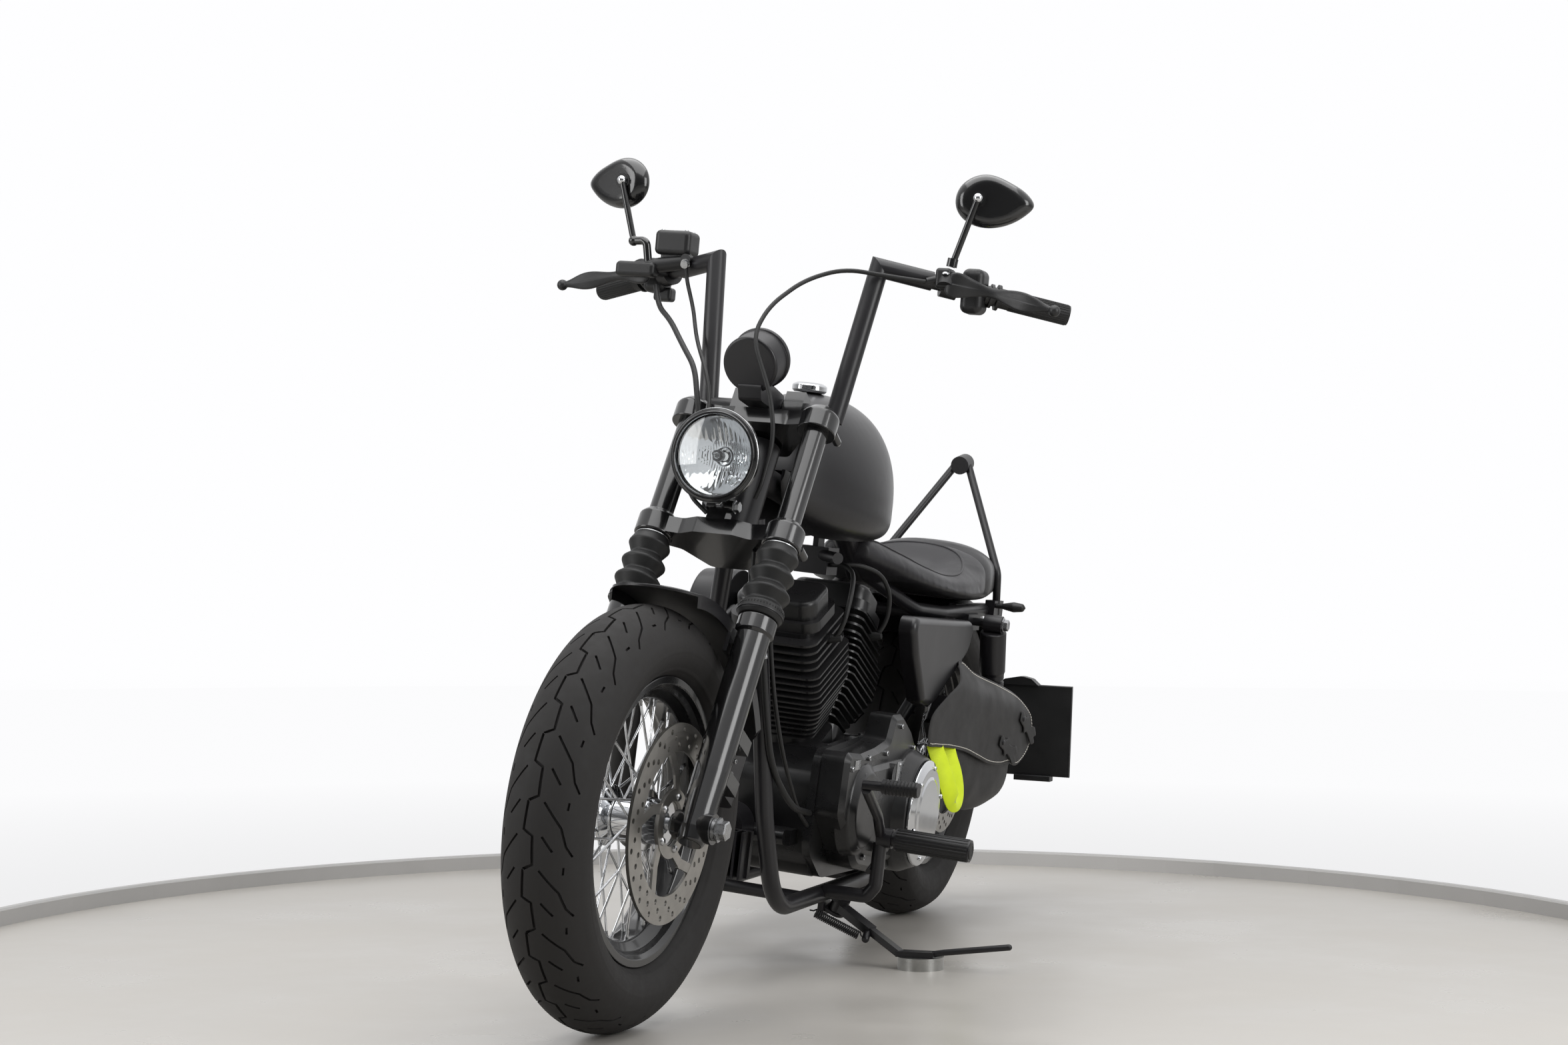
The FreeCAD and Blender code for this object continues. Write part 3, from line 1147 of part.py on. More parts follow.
def side_cover():
    # A funnel-shaped shell, wide under the seat and pointed at the bottom
    outline = [(112, 634, 22), (556, 622, 22), (520, 560, 60), (300, 462, 20), (236, 474, 20), (158, 560, 80)]
    body = plate_x(outline, 122, 156)
    body = body.makeFillet(12, [e for e in body.Edges if e.BoundBox.XMin > 155.9])
    hollow = plate_x([(124, 626, 14), (540, 616, 14), (508, 566, 50), (300, 476, 14), (246, 484, 14), (170, 562, 70)],
                     121, 148)
    return body.cut(hollow)


def drive_belt():
    axle = rear_axle
    front = vec(0, clutch_y + 22, clutch_z + 8)
    front_radius = sprocket_radius

    def loop(extra):
        # The outline around both pulleys, from their outer tangents
        span = vec(0, axle.y - front.y, axle.z - front.z)
        tilt = math.atan2(span.z, span.y)
        spread = math.asin((pulley_radius - front_radius) / span.Length)
        points = []
        for centre, radius, sign in ((front, front_radius, 1), (axle, pulley_radius, 1),
                                     (axle, pulley_radius, -1), (front, front_radius, -1)):
            angle = tilt + sign * (math.pi / 2 + spread)
            reach = radius + extra
            points.append(vec(0, centre.y + reach * math.cos(angle), centre.z + reach * math.sin(angle)))
        rear_reach = pulley_radius + extra
        rear_mid = vec(0, axle.y + rear_reach * math.cos(tilt), axle.z + rear_reach * math.sin(tilt))
        front_reach = front_radius + extra
        front_mid = vec(0, front.y - front_reach * math.cos(tilt), front.z - front_reach * math.sin(tilt))
        return Part.Wire([Part.makeLine(points[0], points[1]), Part.Arc(points[1], rear_mid, points[2]).toShape(),
                          Part.makeLine(points[2], points[3]), Part.Arc(points[3], front_mid, points[0]).toShape()])

    outer = Part.Face(loop(seat_gap + belt_thickness)).extrude(vec(belt_width, 0, 0))
    inner = Part.Face(loop(seat_gap)).extrude(vec(belt_width, 0, 0))
    belt = outer.cut(inner)
    belt.translate(vec(pulley_x - belt_width / 2, 0, 0))
    return belt


def footpeg(inner_x, outer_x):
    peg = rod(vec(inner_x + 12, -62, 257), vec(outer_x, -62, 257), 19)
    core = rod(vec(inner_x, -62, 257), vec(inner_x + 14, -62, 257), 13)
    return fuse([peg, core])


def foot_controls():
    # Brackets under the engine to each peg, the shift lever and the brake pedal
    def bracket(reach):
        return fuse([tube([vec(rail_half_spacing + 10, -62, rail_z + 8), vec(reach - 14, -62, 152), vec(reach, -62, 172),
                           vec(reach, -62, 248)], 12, 14), rod(vec(reach - 4, -62, 257), vec(reach + 22, -62, 257), 17)])
    left = bracket(189)
    shift_arm = tube([vec(189, -62, 257), vec(196, -120, 300), vec(206, -240, 356)], 9, 40)
    shift_end = rod(vec(200, -240, 362), vec(236, -240, 364), 8)
    shift_peg = rod(vec(234, -240, 364), vec(296, -240, 366), 12)
    linkage = rod(vec(172, 30, 226), vec(176, -70, 196), 5)
    link_arm = tube([vec(172, 30, 226), vec(190, -40, 252)], 7)
    right = bracket(236)
    pedal = tube([vec(-244, -62, 257), vec(-262, -110, 244), vec(-262, -190, 262), vec(-262, -246, 276)], 8, 26)
    pad = block(-310, -250, -262, -234, 270, 284)
    rails = Part.makeCompound([rod(vec(side * rail_half_spacing, -300, rail_z), vec(side * rail_half_spacing, 300, rail_z),
                                   rail_radius + running_gap) for side in (-1, 1)])
    left_group = fuse([left, shift_arm, shift_end, shift_peg, linkage, link_arm, footpeg(205, 350)])
    right_group = fuse([mirrored(right), pedal, pad, mirrored(footpeg(250, 365))])
    return Part.makeCompound([left_group.cut(rails), right_group.cut(rails)])


def prism(points, way):
    # A straight body on a closed outline given in space
    return Part.Face(Part.makePolygon(points + [points[0]])).extrude(way)


def saddlebag():
    # A three-cornered bag hung outside the left swingarm: a pouch under a wide flap that slopes off the top
    plan = prism([vec(146, 240, 200), vec(162, 240, 200), vec(229, 840, 200), vec(146, 840, 200)], vec(0, 0, 400))
    slope = prism([vec(140, 200, 200), vec(140, 200, 554), vec(154, 200, 548), vec(186, 200, 506), vec(214, 200, 468),
                   vec(240, 200, 410), vec(240, 200, 200)], vec(0, 700, 0))
    flap = plate_x([(256, 462, 20), (580, 552, 30), (712, 500, 60), (800, 452, 40), (828, 412, 30), (792, 322, 24),
                    (640, 344, 60), (340, 382, 60), (262, 390, 14)], 140, 240)
    pouch = plate_x([(330, 440, 30), (800, 440, 30), (806, 300, 60), (760, 262, 40), (610, 246, 50), (500, 262, 60),
                     (356, 378, 20)], 140, 240)
    inset = prism([vec(146, 240, 200), vec(156, 240, 200), vec(221, 830, 200), vec(146, 830, 200)], vec(0, 0, 400))
    body = fuse([flap.common(plan), pouch.common(inset)]).common(slope)
    shock_room = fuse([rod(vec(shock_x - 6, shock_top[0] - 10, shock_top[1] + 32),
                           vec(shock_x - 6, shock_bottom[0] + 44, 200), shock_radius + 12),
                       block(100, shock_x + 26, 680, 790, 200, 400)])
    studs = [disc_x(arm_inner_x + arm_width + 0.3, 152, y, z, 9) for y, z in ((480, 306), (600, 312))]
    return fuse([body.cut(shock_room)] + studs)


def bag_loop():
    # A flat strap folded into a hanging loop below the flap's front edge
    foot = vec(184, 284, 0)
    way = unit(vec(40, 110, 0))
    outline = [(0, 383, 3), (112, 352, 3), (104, 310, 16), (78, 284, 16), (50, 284, 16), (16, 322, 24)]
    points = [foot + way * t + vec(0, 0, z) for t, z, _ in outline]
    loop = Part.Face(rounded_wire(points, [r for _, _, r in outline], True)).extrude(vec(2.8, -1.0, 0))
    # Its tail lies back against the pouch, under the flap
    tail = prism([vec(172.8, 383, 351), vec(221, 383, 351), vec(223, 391, 351), vec(173.4, 391, 351)], vec(0, 0, 3))
    return fuse([loop, tail])


def rear_caliper():
    # Straddles the disc up and ahead of the axle, on a plate held between the arm and the axle's spacer
    outer_x = arm_inner_x - seat_gap
    body = block(rear_disc_x - 24, outer_x - 6, -38, 38, 108, 162)
    body = body.makeFillet(8, [e for e in body.Edges if e.BoundBox.ZMin > 161])
    slot = block(rear_disc_x - 7.6, rear_disc_x + 7.6, -60, 60, 60, rear_disc_radius + 5.5)
    plate = fuse([block(outer_x - 8, outer_x, -20, 20, 0, 150), disc_x(outer_x - 8, outer_x, 0, 0, 28)])
    plate = plate.cut(disc_x(80, 120, 0, 0, 17 + seat_gap))
    whole = fuse([body.cut(slot), plate])
    return placed(whole, Placement(rear_axle, Rotation(vec(1, 0, 0), 45)))


def engine_fittings():
    # The finned regulator ahead of the down tubes, the ignition coil and its switch
    regulator = [block(-46, 46, -330, -318, 190, 268)]
    for index in range(8):
        regulator.append(block(-46 + index * 12, -42 + index * 12, -356, -326, 190, 268))
    coil = fuse([block(-30, 30, -44, 16, 694, 742), rod(vec(18, -36, 728), vec(62, -86, 726), 10),
                 block(-5, 5, -30, 4, 740, 792)])
    filter_can = rod(vec(-30, -209.3, 262), vec(-30, -272, 262), 38)
    return Part.makeCompound([fuse(regulator), coil, filter_can])


def frame_cables():
    clutch = [(60, -402, 742), (50, -396, 690), (57.6, -386, 600), (70, -368, 500), (84, -330, 400), (95, -250, 304),
              (92, -179.5, 272)]
    leads_front = [(30.3, -30, 712), (64, -50, 716), (98, -96, 704), (110, -138, 666), (108, -152, 622),
                   (94, -148.6, 592), (70.3, -147.3, 588.1)]
    leads_rear = [(30.3, 0, 712), (66, 14, 718), (102, 52, 706), (114, 84, 668), (109, 96, 622), (94, 92.6, 592),
                  (70.3, 91.3, 588.1)]
    conduit = [(46.4, -408, 650), (54.6, -397, 560), (66, -384, 470), (79, -364, 380), (97, -290, 312),
               (93, -180.5, 294)]
    solids = []
    for route, radius in ((clutch, 3.6), (leads_front, 4.0), (leads_rear, 4.0), (conduit, 5.5)):
        solids.append(cable([vec(*p) for p in route], radius))
    return Part.makeCompound(solids)


# Side stand

def stand_heel():
    return from_ground(puck_centre[0] - 38, puck_centre[1] - 7, puck_height + 6)


def stand_axis():
    # Square to the leg as it stands and to the way that it folds, which lifts the sole off the puck at once
    leg = stand_heel() - vec(*stand_pivot)
    return unit(leg.cross(vec(*stand_fold)))


def flat_bar(start, end, across, width, thickness):
    # A rectangular bar whose thickness lies along a given direction
    way = unit(end - start)
    side = unit(across.cross(way))
    length = (end - start).Length
    corner = start - side * (width / 2) - across * (thickness / 2)
    base = [corner, corner + side * width, corner + side * width + across * thickness, corner + across * thickness]
    return Part.Face(Part.makePolygon(base + [corner])).extrude(way * length)


def stand_hook():
    # Where the spring's lower end is held, on the leg's forward side
    pivot = vec(*stand_pivot)
    return pivot + (stand_heel() - pivot) * 0.5 + vec(2, -17, -16)


def side_stand():
    axis = stand_axis()
    pivot = vec(*stand_pivot)
    heel = stand_heel()
    away = unit(heel - pivot)
    leg = flat_bar(pivot, pivot + (heel - pivot) * 0.55, axis, 24, 14)
    shin = flat_bar(pivot + (heel - pivot) * 0.45, heel + away * 4, axis, 15, 12)
    sole = Part.makeBox(68, 30, 9.5, vec(-4, -15, 0))
    sole.Placement = Placement(from_ground(puck_centre[0] - 35, puck_centre[1] - 9, puck_height + foot_gap),
                               lean_turn.inverted())
    tip_in = from_ground(puck_centre[0] + 26, puck_centre[1] - 13, puck_height + 6.5)
    step = from_ground(puck_centre[0] + 46, puck_centre[1] - 12, puck_height + 10)
    tang = tube([tip_in, step, from_ground(427, 10, 44)], 5.5)
    toe = Part.makeSphere(5.5, from_ground(427, 10, 44))
    boss = along(Part.makeCylinder(15, 18, vec(0, 0, -9)), pivot, axis)
    mid = pivot + (heel - pivot) * 0.5
    lug = fuse([rod(mid, stand_hook(), 7), Part.makeSphere(7, stand_hook())])
    bore = along(Part.makeCylinder(6 + running_gap, 60, vec(0, 0, -30)), pivot, axis)
    below_foot = Part.makeBox(400, 200, 60, vec(0, -100, -60))
    below_foot.Placement = Placement(from_ground(100, 0, puck_height + foot_gap), lean_turn.inverted())
    return fuse([leg, shin, sole, tang, toe, boss, lug]).cut(bore).cut(below_foot)


def stand_spring():
    start = vec(70, -40, 108)
    end = stand_hook()
    way = unit(end - start)
    return rod(start, end - way * 7.5, 8.5)


def stand_puck():
    low = from_ground(puck_centre[0], puck_centre[1], 0)
    high = from_ground(puck_centre[0], puck_centre[1], puck_height)
    return rod(low, high, puck_radius)


def root_parts():
    return {
        "frame_backbone": frame_backbone(),
        "frame_cradle": frame_cradle(),
        "frame_rear": frame_rear(),
        "swingarm": swingarm(),
        "shocks": Part.makeCompound([shock(1), shock(-1)]),
        "crankcase": crankcase(),
        "cylinders": Part.makeCompound([cylinder(cylinder_tilt_deg), cylinder(-cylinder_tilt_deg)]),
        "rocker_boxes": Part.makeCompound([rocker_box(cylinder_tilt_deg), rocker_box(-cylinder_tilt_deg)]),
        "primary_cover": primary_cover(),
        "derby_cover": derby_cover(),
        "cam_cover": cam_cover(),
        "air_cleaner": air_cleaner(),
        "exhaust": exhaust(),
        "fuel_tank": fuel_tank(),
        "fuel_cap": fuel_cap(),
        "seat": seat(),
        "rear_fender": rear_fender(),
        "sissy_bar": sissy_bar(),
        "rear_signals": rear_signals(),
        "plate_carrier": plate_carrier(),
        "licence_plate": licence_plate(),
        "side_covers": both_sides(side_cover()),
        "drive_belt": drive_belt(),
        "foot_controls": foot_controls(),
        "saddlebag": saddlebag(),
        "bag_loop": bag_loop(),
        "rear_caliper": rear_caliper(),
        "engine_fittings": engine_fittings(),
        "frame_cables": frame_cables(),
        "stand_puck": stand_puck(),
        "stand_spring": stand_spring(),
    }


# Which piece is notched for which, where one passes through or seats in the other
notches = {
    "frame_rear": ("frame_cradle", "frame_backbone"),
    "crankcase": ("frame_cradle", "frame_rear"),
    "cylinders": ("crankcase", "air_cleaner"),
    "cam_cover": ("cylinders",),
    "fuel_tank": ("frame_backbone",),
    "fuel_cap": ("fuel_tank",),
    "rear_fender": ("frame_rear",),
    "sissy_bar": ("frame_rear", "rear_fender"),
    "seat": ("frame_rear", "frame_backbone", "fuel_tank", "rear_fender", "sissy_bar"),
    "exhaust": ("cylinders", "foot_controls"),
    "plate_carrier": ("swingarm", "shocks", "rear_fender"),
    "saddlebag": ("plate_carrier",),
    "side_covers": ("frame_rear", "exhaust", "saddlebag"),
    "engine_fittings": ("frame_backbone",),
    "frame_cables": ("crankcase", "cylinders", "engine_fittings", "frame_cradle"),
    "headlight_shell": ("lower_clamp",),
    "mirrors": ("left_controls", "right_controls"),
}
smallest_solid = 500.0


def notched(pieces):
    for name, others in notches.items():
        if name not in pieces:
            continue
        tools = Part.makeCompound([pieces[other] for other in others])
        left = [solid for solid in pieces[name].cut(tools).Solids if solid.Volume > smallest_solid]
        pieces[name] = left[0] if len(left) == 1 else Part.makeCompound(left)
    return pieces


def main():
    os.makedirs("parts", exist_ok=True)
    turned = notched({**steering_parts(), **front_wheel_parts()})
    straight = notched({**root_parts(), **rear_wheel_parts(), "side_stand": side_stand()})
    steer_turn = Placement(vec(0, 0, 0), Rotation(steering_axis, steer_deg), steering_point)
    lean_placement = Placement(vec(0, 0, ground_drop), lean_turn)
    stood = {}
    for name, shape in turned.items():
        stood[name] = placed(placed(shape, steer_turn), lean_placement)
    for name, shape in straight.items():
        stood[name] = placed(shape, lean_placement)
    boxes = [shape.optimalBoundingBox(False) for shape in stood.values()]
    low = vec(*[min(getattr(box, side) for box in boxes) for side in ("XMin", "YMin", "ZMin")])
    high = vec(*[max(getattr(box, side) for box in boxes) for side in ("XMax", "YMax", "ZMax")])
    shift = vec(-(low.x + high.x) / 2, -(low.y + high.y) / 2, 0)
    for name, shape in stood.items():
        shape.translate(shift)
        shape.exportStep(os.path.join("parts", name + ".step"))
        print(name, "solids", len(shape.Solids), "valid", shape.isValid(), "volume", round(shape.Volume / 1000))
    print("shift", [round(c, 3) for c in shift], "size", [round(c, 1) for c in high - low], "lowest", round(low.z, 3))
    turned_axle = steer_turn.multVec(front_axle)
    for label, point, axis in (("steering", steering_point, steering_axis),
                               ("front wheel", turned_axle, steer_turn.Rotation.multVec(vec(1, 0, 0))),
                               ("rear wheel", rear_axle, vec(1, 0, 0)), ("side stand", vec(*stand_pivot), stand_axis())):
        print(label, "at", [round(c, 3) for c in lean_placement.multVec(point) + shift],
              "axis", [round(c, 6) for c in lean_turn.multVec(axis)])


main()
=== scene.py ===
import math

import bmesh
import bpy
from mathutils import Matrix, Vector, noise
from mathutils.bvhtree import BVHTree


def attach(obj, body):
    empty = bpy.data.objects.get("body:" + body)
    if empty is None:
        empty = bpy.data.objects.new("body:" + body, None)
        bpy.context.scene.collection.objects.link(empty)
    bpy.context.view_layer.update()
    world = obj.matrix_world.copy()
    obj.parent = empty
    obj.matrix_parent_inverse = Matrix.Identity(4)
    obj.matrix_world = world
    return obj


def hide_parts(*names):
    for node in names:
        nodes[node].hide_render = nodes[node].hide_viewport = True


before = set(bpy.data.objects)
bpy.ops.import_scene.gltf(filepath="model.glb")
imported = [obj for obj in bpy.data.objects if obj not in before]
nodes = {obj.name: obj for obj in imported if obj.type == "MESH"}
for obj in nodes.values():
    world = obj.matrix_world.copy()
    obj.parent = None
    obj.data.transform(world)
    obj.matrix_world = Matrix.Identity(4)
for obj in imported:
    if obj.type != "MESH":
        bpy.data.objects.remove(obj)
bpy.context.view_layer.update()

print("frame loaded,", len(nodes), "nodes")

# The machine is drawn upright and in millimetres, then it leans on its stand
stance = {
    "lean": 6.83,
    "steer": -3.08,
    "shift": (-125.741, -2.801, 0.71),
    "rake": 30.0,
    "frontAxle": (0, -760, 320),
    "rearAxle": (0, 760, 323),
    "forkOffset": 52.0,
    "groundDrop": 0.71,
    "standFoot": (231, 3, 27.5),
}
forkFrame = Matrix.Translation(stance["frontAxle"]) @ Matrix.Rotation(math.radians(-stance["rake"]), 4, "X")


def stanceMatrix(steered):
    place = Matrix.Translation(stance["shift"]) @ Matrix.Rotation(math.radians(stance["lean"]), 4, "Y")
    if steered:
        pivot = forkFrame @ Vector((0, stance["forkOffset"], 0))
        axis = forkFrame.to_3x3() @ Vector((0, 0, 1))
        turn = Matrix.Rotation(math.radians(stance["steer"]), 4, axis)
        place = place @ Matrix.Translation(pivot) @ turn @ Matrix.Translation(-pivot)
    return Matrix.Scale(0.001, 4) @ place


straightPlace, steeredPlace = stanceMatrix(False), stanceMatrix(True)
placeOf = {"root": straightPlace, "rear_wheel": straightPlace, "side_stand": straightPlace,
           "steering": steeredPlace, "front_wheel": steeredPlace}


# Materials

def shade(code):
    # sRGB hex to the linear values that Blender takes
    parts = [int(code[i:i + 2], 16) / 255 for i in (1, 3, 5)]
    return (*[p / 12.92 if p <= 0.04045 else ((p + 0.055) / 1.055) ** 2.4 for p in parts], 1.0)


def addNode(tree, kind, settings=None, links=None):
    node = tree.nodes.new(kind)
    for key, value in (settings or {}).items():
        if isinstance(key, int) or key in node.inputs:
            node.inputs[key].default_value = value
        else:
            setattr(node, key, value)
    for key, source in (links or {}).items():
        tree.links.new(source, node.inputs[key])
    return node


def startMaterial(name, surface):
    material = bpy.data.materials.new(name)
    material.use_nodes = True
    tree = material.node_tree
    tree.nodes.clear()
    shader = addNode(tree, "ShaderNodeBsdfPrincipled", surface)
    addNode(tree, "ShaderNodeOutputMaterial", links={"Surface": shader.outputs["BSDF"]})
    coords = addNode(tree, "ShaderNodeTexCoord").outputs["Object"]
    return material, tree, shader, coords


def perMetre(millimetres):
    # A noise texture's scale for features of a real size
    return 1000.0 / millimetres


def cloudOf(tree, vector, millimetres, detail, roughness=0.5):
    return addNode(tree, "ShaderNodeTexNoise",
                   {"Scale": perMetre(millimetres), "Detail": detail, "Roughness": roughness}, {"Vector": vector})


def twoTones(tree, look, source):
    return addNode(tree, "ShaderNodeMix", {"data_type": "RGBA", 6: shade(look["dark"]), 7: shade(look["light"])},
                   {0: source.outputs["Fac"]}).outputs[2]


def setTone(tree, shader, look, source):
    tree.links.new(twoTones(tree, look, source), shader.inputs["Base Color"])


def setGloss(tree, shader, look, source, least, most):
    # The roughness wanders between two shares of the look's own
    gloss = addNode(tree, "ShaderNodeMapRange",
                    {"From Min": 0.3, "From Max": 0.7, "To Min": look["roughness"] * least,
                     "To Max": look["roughness"] * most}, {"Value": source.outputs["Fac"]})
    tree.links.new(gloss.outputs[0], shader.inputs["Roughness"])


def setBump(tree, shader, strength, distance, height):
    bump = addNode(tree, "ShaderNodeBump", {"Strength": strength, "Distance": distance}, {"Height": height})
    tree.links.new(bump.outputs["Normal"], shader.inputs["Normal"])


def coatedMetal(name, look):
    # Paint or powder on metal: two close tones, an uneven gloss and a fine grain
    material, tree, shader, coords = startMaterial(name, {
        "Specular IOR Level": look.get("specular", 0.5), "Coat Weight": look.get("coat", 0.0),
        "Coat Roughness": look.get("coatRoughness", 0.08)})
    cloud = cloudOf(tree, coords, look["cloud"], 4.0)
    tone = twoTones(tree, look, cloud)
    dust = addNode(tree, "ShaderNodeSeparateXYZ", links={0: addNode(tree, "ShaderNodeNewGeometry").outputs["Normal"]})
    dustShare = addNode(tree, "ShaderNodeMapRange", {"From Min": 0.5, "From Max": 1.0, "To Min": 0.0,
                                                     "To Max": look.get("dust", 0.05)}, {"Value": dust.outputs["Z"]})
    dusty = addNode(tree, "ShaderNodeMix", {"data_type": "RGBA", 7: shade("#8b888a")},
                    {0: dustShare.outputs[0], 6: tone})
    tree.links.new(dusty.outputs[2], shader.inputs["Base Color"])
    setGloss(tree, shader, look, cloud, 0.86, 1.14)
    grain = cloudOf(tree, coords, look["grain"], 2.0)
    setBump(tree, shader, look["bump"], 0.0002, grain.outputs["Fac"])
    return material


# Powder coat, baked on steel: even, slightly pebbled, a broad soft highlight
satinBlack = coatedMetal("satinPowderCoat", {"dark": "#111013", "light": "#18171a", "cloud": 90, "roughness": 0.36,
                                             "grain": 1.2, "bump": 0.06, "dust": 0.05})
# Stoved enamel on the clamps and legs: near black, with a hard clear highlight
glossBlack = coatedMetal("glossEnamel", {"dark": "#0c0c0d", "light": "#121213", "cloud": 120, "roughness": 0.2,
                                         "grain": 2.5, "bump": 0.03, "coat": 0.6, "coatRoughness": 0.07, "dust": 0.03})
# Denim-finish tank paint: no clear shine, the reflection melts into a wide band
tankPaint = coatedMetal("denimTankPaint", {"dark": "#111013", "light": "#161518", "cloud": 160, "roughness": 0.34,
                                           "grain": 0.9, "bump": 0.03, "coat": 0.15, "coatRoughness": 0.3,
                                           "dust": 0.04})
# Heat-proof black on cast aluminium: a little coarser, with sand-cast unevenness under it
engineBlack = coatedMetal("castEngineCoat", {"dark": "#0d0d0e", "light": "#151516", "cloud": 40, "roughness": 0.3,
                                             "grain": 1.8, "bump": 0.12, "dust": 0.05})
# Silicone heat paint on the mufflers: flatter and browner than the frame's
mufflerBlack = coatedMetal("heatPaint", {"dark": "#171615", "light": "#211f1e", "cloud": 60, "roughness": 0.46,
                                         "grain": 0.8, "bump": 0.08, "dust": 0.05})
# Enamelled wheel metal
hubBlack = coatedMetal("wheelEnamel", {"dark": "#0e0e0f", "light": "#151516", "cloud": 80, "roughness": 0.22,
                                       "grain": 2.0, "bump": 0.03, "coat": 0.4, "dust": 0.04})


def bareMetal(name, look):
    # Metal with no paint: its tone, a stain pattern in the gloss and fine marks
    material, tree, shader, coords = startMaterial(name, {"Metallic": 1.0})
    cloud = cloudOf(tree, coords, look["cloud"], 5.0, 0.6)
    setTone(tree, shader, look, cloud)
    setGloss(tree, shader, look, cloud, 0.75, 1.3)
    stretch = addNode(tree, "ShaderNodeMapping", {"Scale": look.get("stretch", (1.0, 1.0, 1.0))}, {"Vector": coords})
    marks = cloudOf(tree, stretch.outputs[0], look["marks"], 3.0)
    setBump(tree, shader, look["bump"], 0.0002, marks.outputs["Fac"])
    return material


# Chromium plate over polished steel: bluish white, mirror-like
chrome = bareMetal("chromePlate", {"dark": "#c9cbce", "light": "#dcdddf", "cloud": 30, "roughness": 0.09,
                                   "marks": 3, "bump": 0.02})
# Zinc-plated fasteners and axle ends: greyer, dull-bright
zincSteel = bareMetal("zincPlate", {"dark": "#9c9d9f", "light": "#bfc0c1", "cloud": 6, "roughness": 0.28,
                                    "marks": 1.2, "bump": 0.1})


def turnedMetal(name, look):
    # Ground or lathe-turned metal: fine rings about the piece's own axis
    material, tree, shader, coords = startMaterial(name, {"Metallic": 1.0})
    local = addNode(tree, "ShaderNodeVectorMath", {"operation": "SUBTRACT", 1: look["centre"]}, {0: coords})
    along = addNode(tree, "ShaderNodeVectorMath", {"operation": "DOT_PRODUCT", 1: look["axis"]}, {0: local.outputs[0]})
    shaft = addNode(tree, "ShaderNodeVectorMath", {"operation": "SCALE", 0: look["axis"]},
                    {"Scale": along.outputs["Value"]})
    across = addNode(tree, "ShaderNodeVectorMath", {"operation": "SUBTRACT"},
                     {0: local.outputs[0], 1: shaft.outputs[0]})
    radius = addNode(tree, "ShaderNodeVectorMath", {"operation": "LENGTH"}, {0: across.outputs[0]})
    rings = addNode(tree, "ShaderNodeCombineXYZ", links={"X": radius.outputs["Value"], "Y": along.outputs["Value"]})
    lines = cloudOf(tree, rings.outputs[0], look["rings"], 2.0)
    stain = cloudOf(tree, coords, look["cloud"], 4.0)
    setTone(tree, shader, look, stain)
    setGloss(tree, shader, look, lines, 0.8, 1.2)
    setBump(tree, shader, look["bump"], 0.0002, lines.outputs["Fac"])
    return material


def axleLook(place, axle, look):
    look = dict(look)
    look["centre"] = tuple(place @ Vector(axle))
    look["axis"] = tuple((place.to_3x3() @ Vector((1, 0, 0))).normalized())
    return look


discLook = {"dark": "#8f8d89", "light": "#b5b2ad", "cloud": 25, "roughness": 0.34, "rings": 0.9, "bump": 0.14}
# Stainless brake discs, ground in rings and dulled by the pads
frontDiscSteel = turnedMetal("groundDiscFront", axleLook(steeredPlace, stance["frontAxle"], discLook))
rearDiscSteel = turnedMetal("groundDiscRear", axleLook(straightPlace, stance["rearAxle"], discLook))
# Round block sawn and turned from aluminium bar, handled and slightly grey
puckLook = {"centre": (0.14326, 0.0072, 0.0), "axis": (0.0, 0.0, 1.0), "dark": "#9a9a98", "light": "#bdbdba",
            "cloud": 12, "roughness": 0.34, "rings": 1.1, "bump": 0.2}
puckAluminium = turnedMetal("turnedAluminium", puckLook)


def elastomer(name, look):
    # Rubber or moulded plastic: no metal, a tone that wanders at random, matt grain
    material, tree, shader, coords = startMaterial(name, {"Specular IOR Level": look.get("specular", 0.4)})
    cloud = cloudOf(tree, coords, look["cloud"], 6.0, 0.65)
    setTone(tree, shader, look, cloud)
    setGloss(tree, shader, look, cloud, 0.9, 1.1)
    grain = cloudOf(tree, coords, look["grain"], 3.0)
    setBump(tree, shader, look["bump"], 0.0003, grain.outputs["Fac"])
    return material


# Tyre tread compound: warm grey-black, scrubbed matt
tyreRubber = elastomer("tyreRubber", {"dark": "#191818", "light": "#282625", "cloud": 18, "roughness": 0.72,
                                      "grain": 0.7, "bump": 0.3, "specular": 0.35})
# Moulded bellows, boots, grips and hoses: blacker, with a slight bloom
softRubber = elastomer("mouldedRubber", {"dark": "#121212", "light": "#1d1d1d", "cloud": 14, "roughness": 0.5,
                                         "grain": 0.6, "bump": 0.12})
# Glass-filled nylon of the switch boxes: fine moulded pebble
controlPlastic = elastomer("mouldedNylon", {"dark": "#121213", "light": "#1a1a1b", "cloud": 40, "roughness": 0.42,
                                            "grain": 0.5, "bump": 0.18, "specular": 0.5})
# Rolled sheet of the number plate
platePaint = elastomer("platePaint", {"dark": "#dededc", "light": "#ececea", "cloud": 60, "roughness": 0.35,
                                      "grain": 0.5, "bump": 0.03, "specular": 0.5})


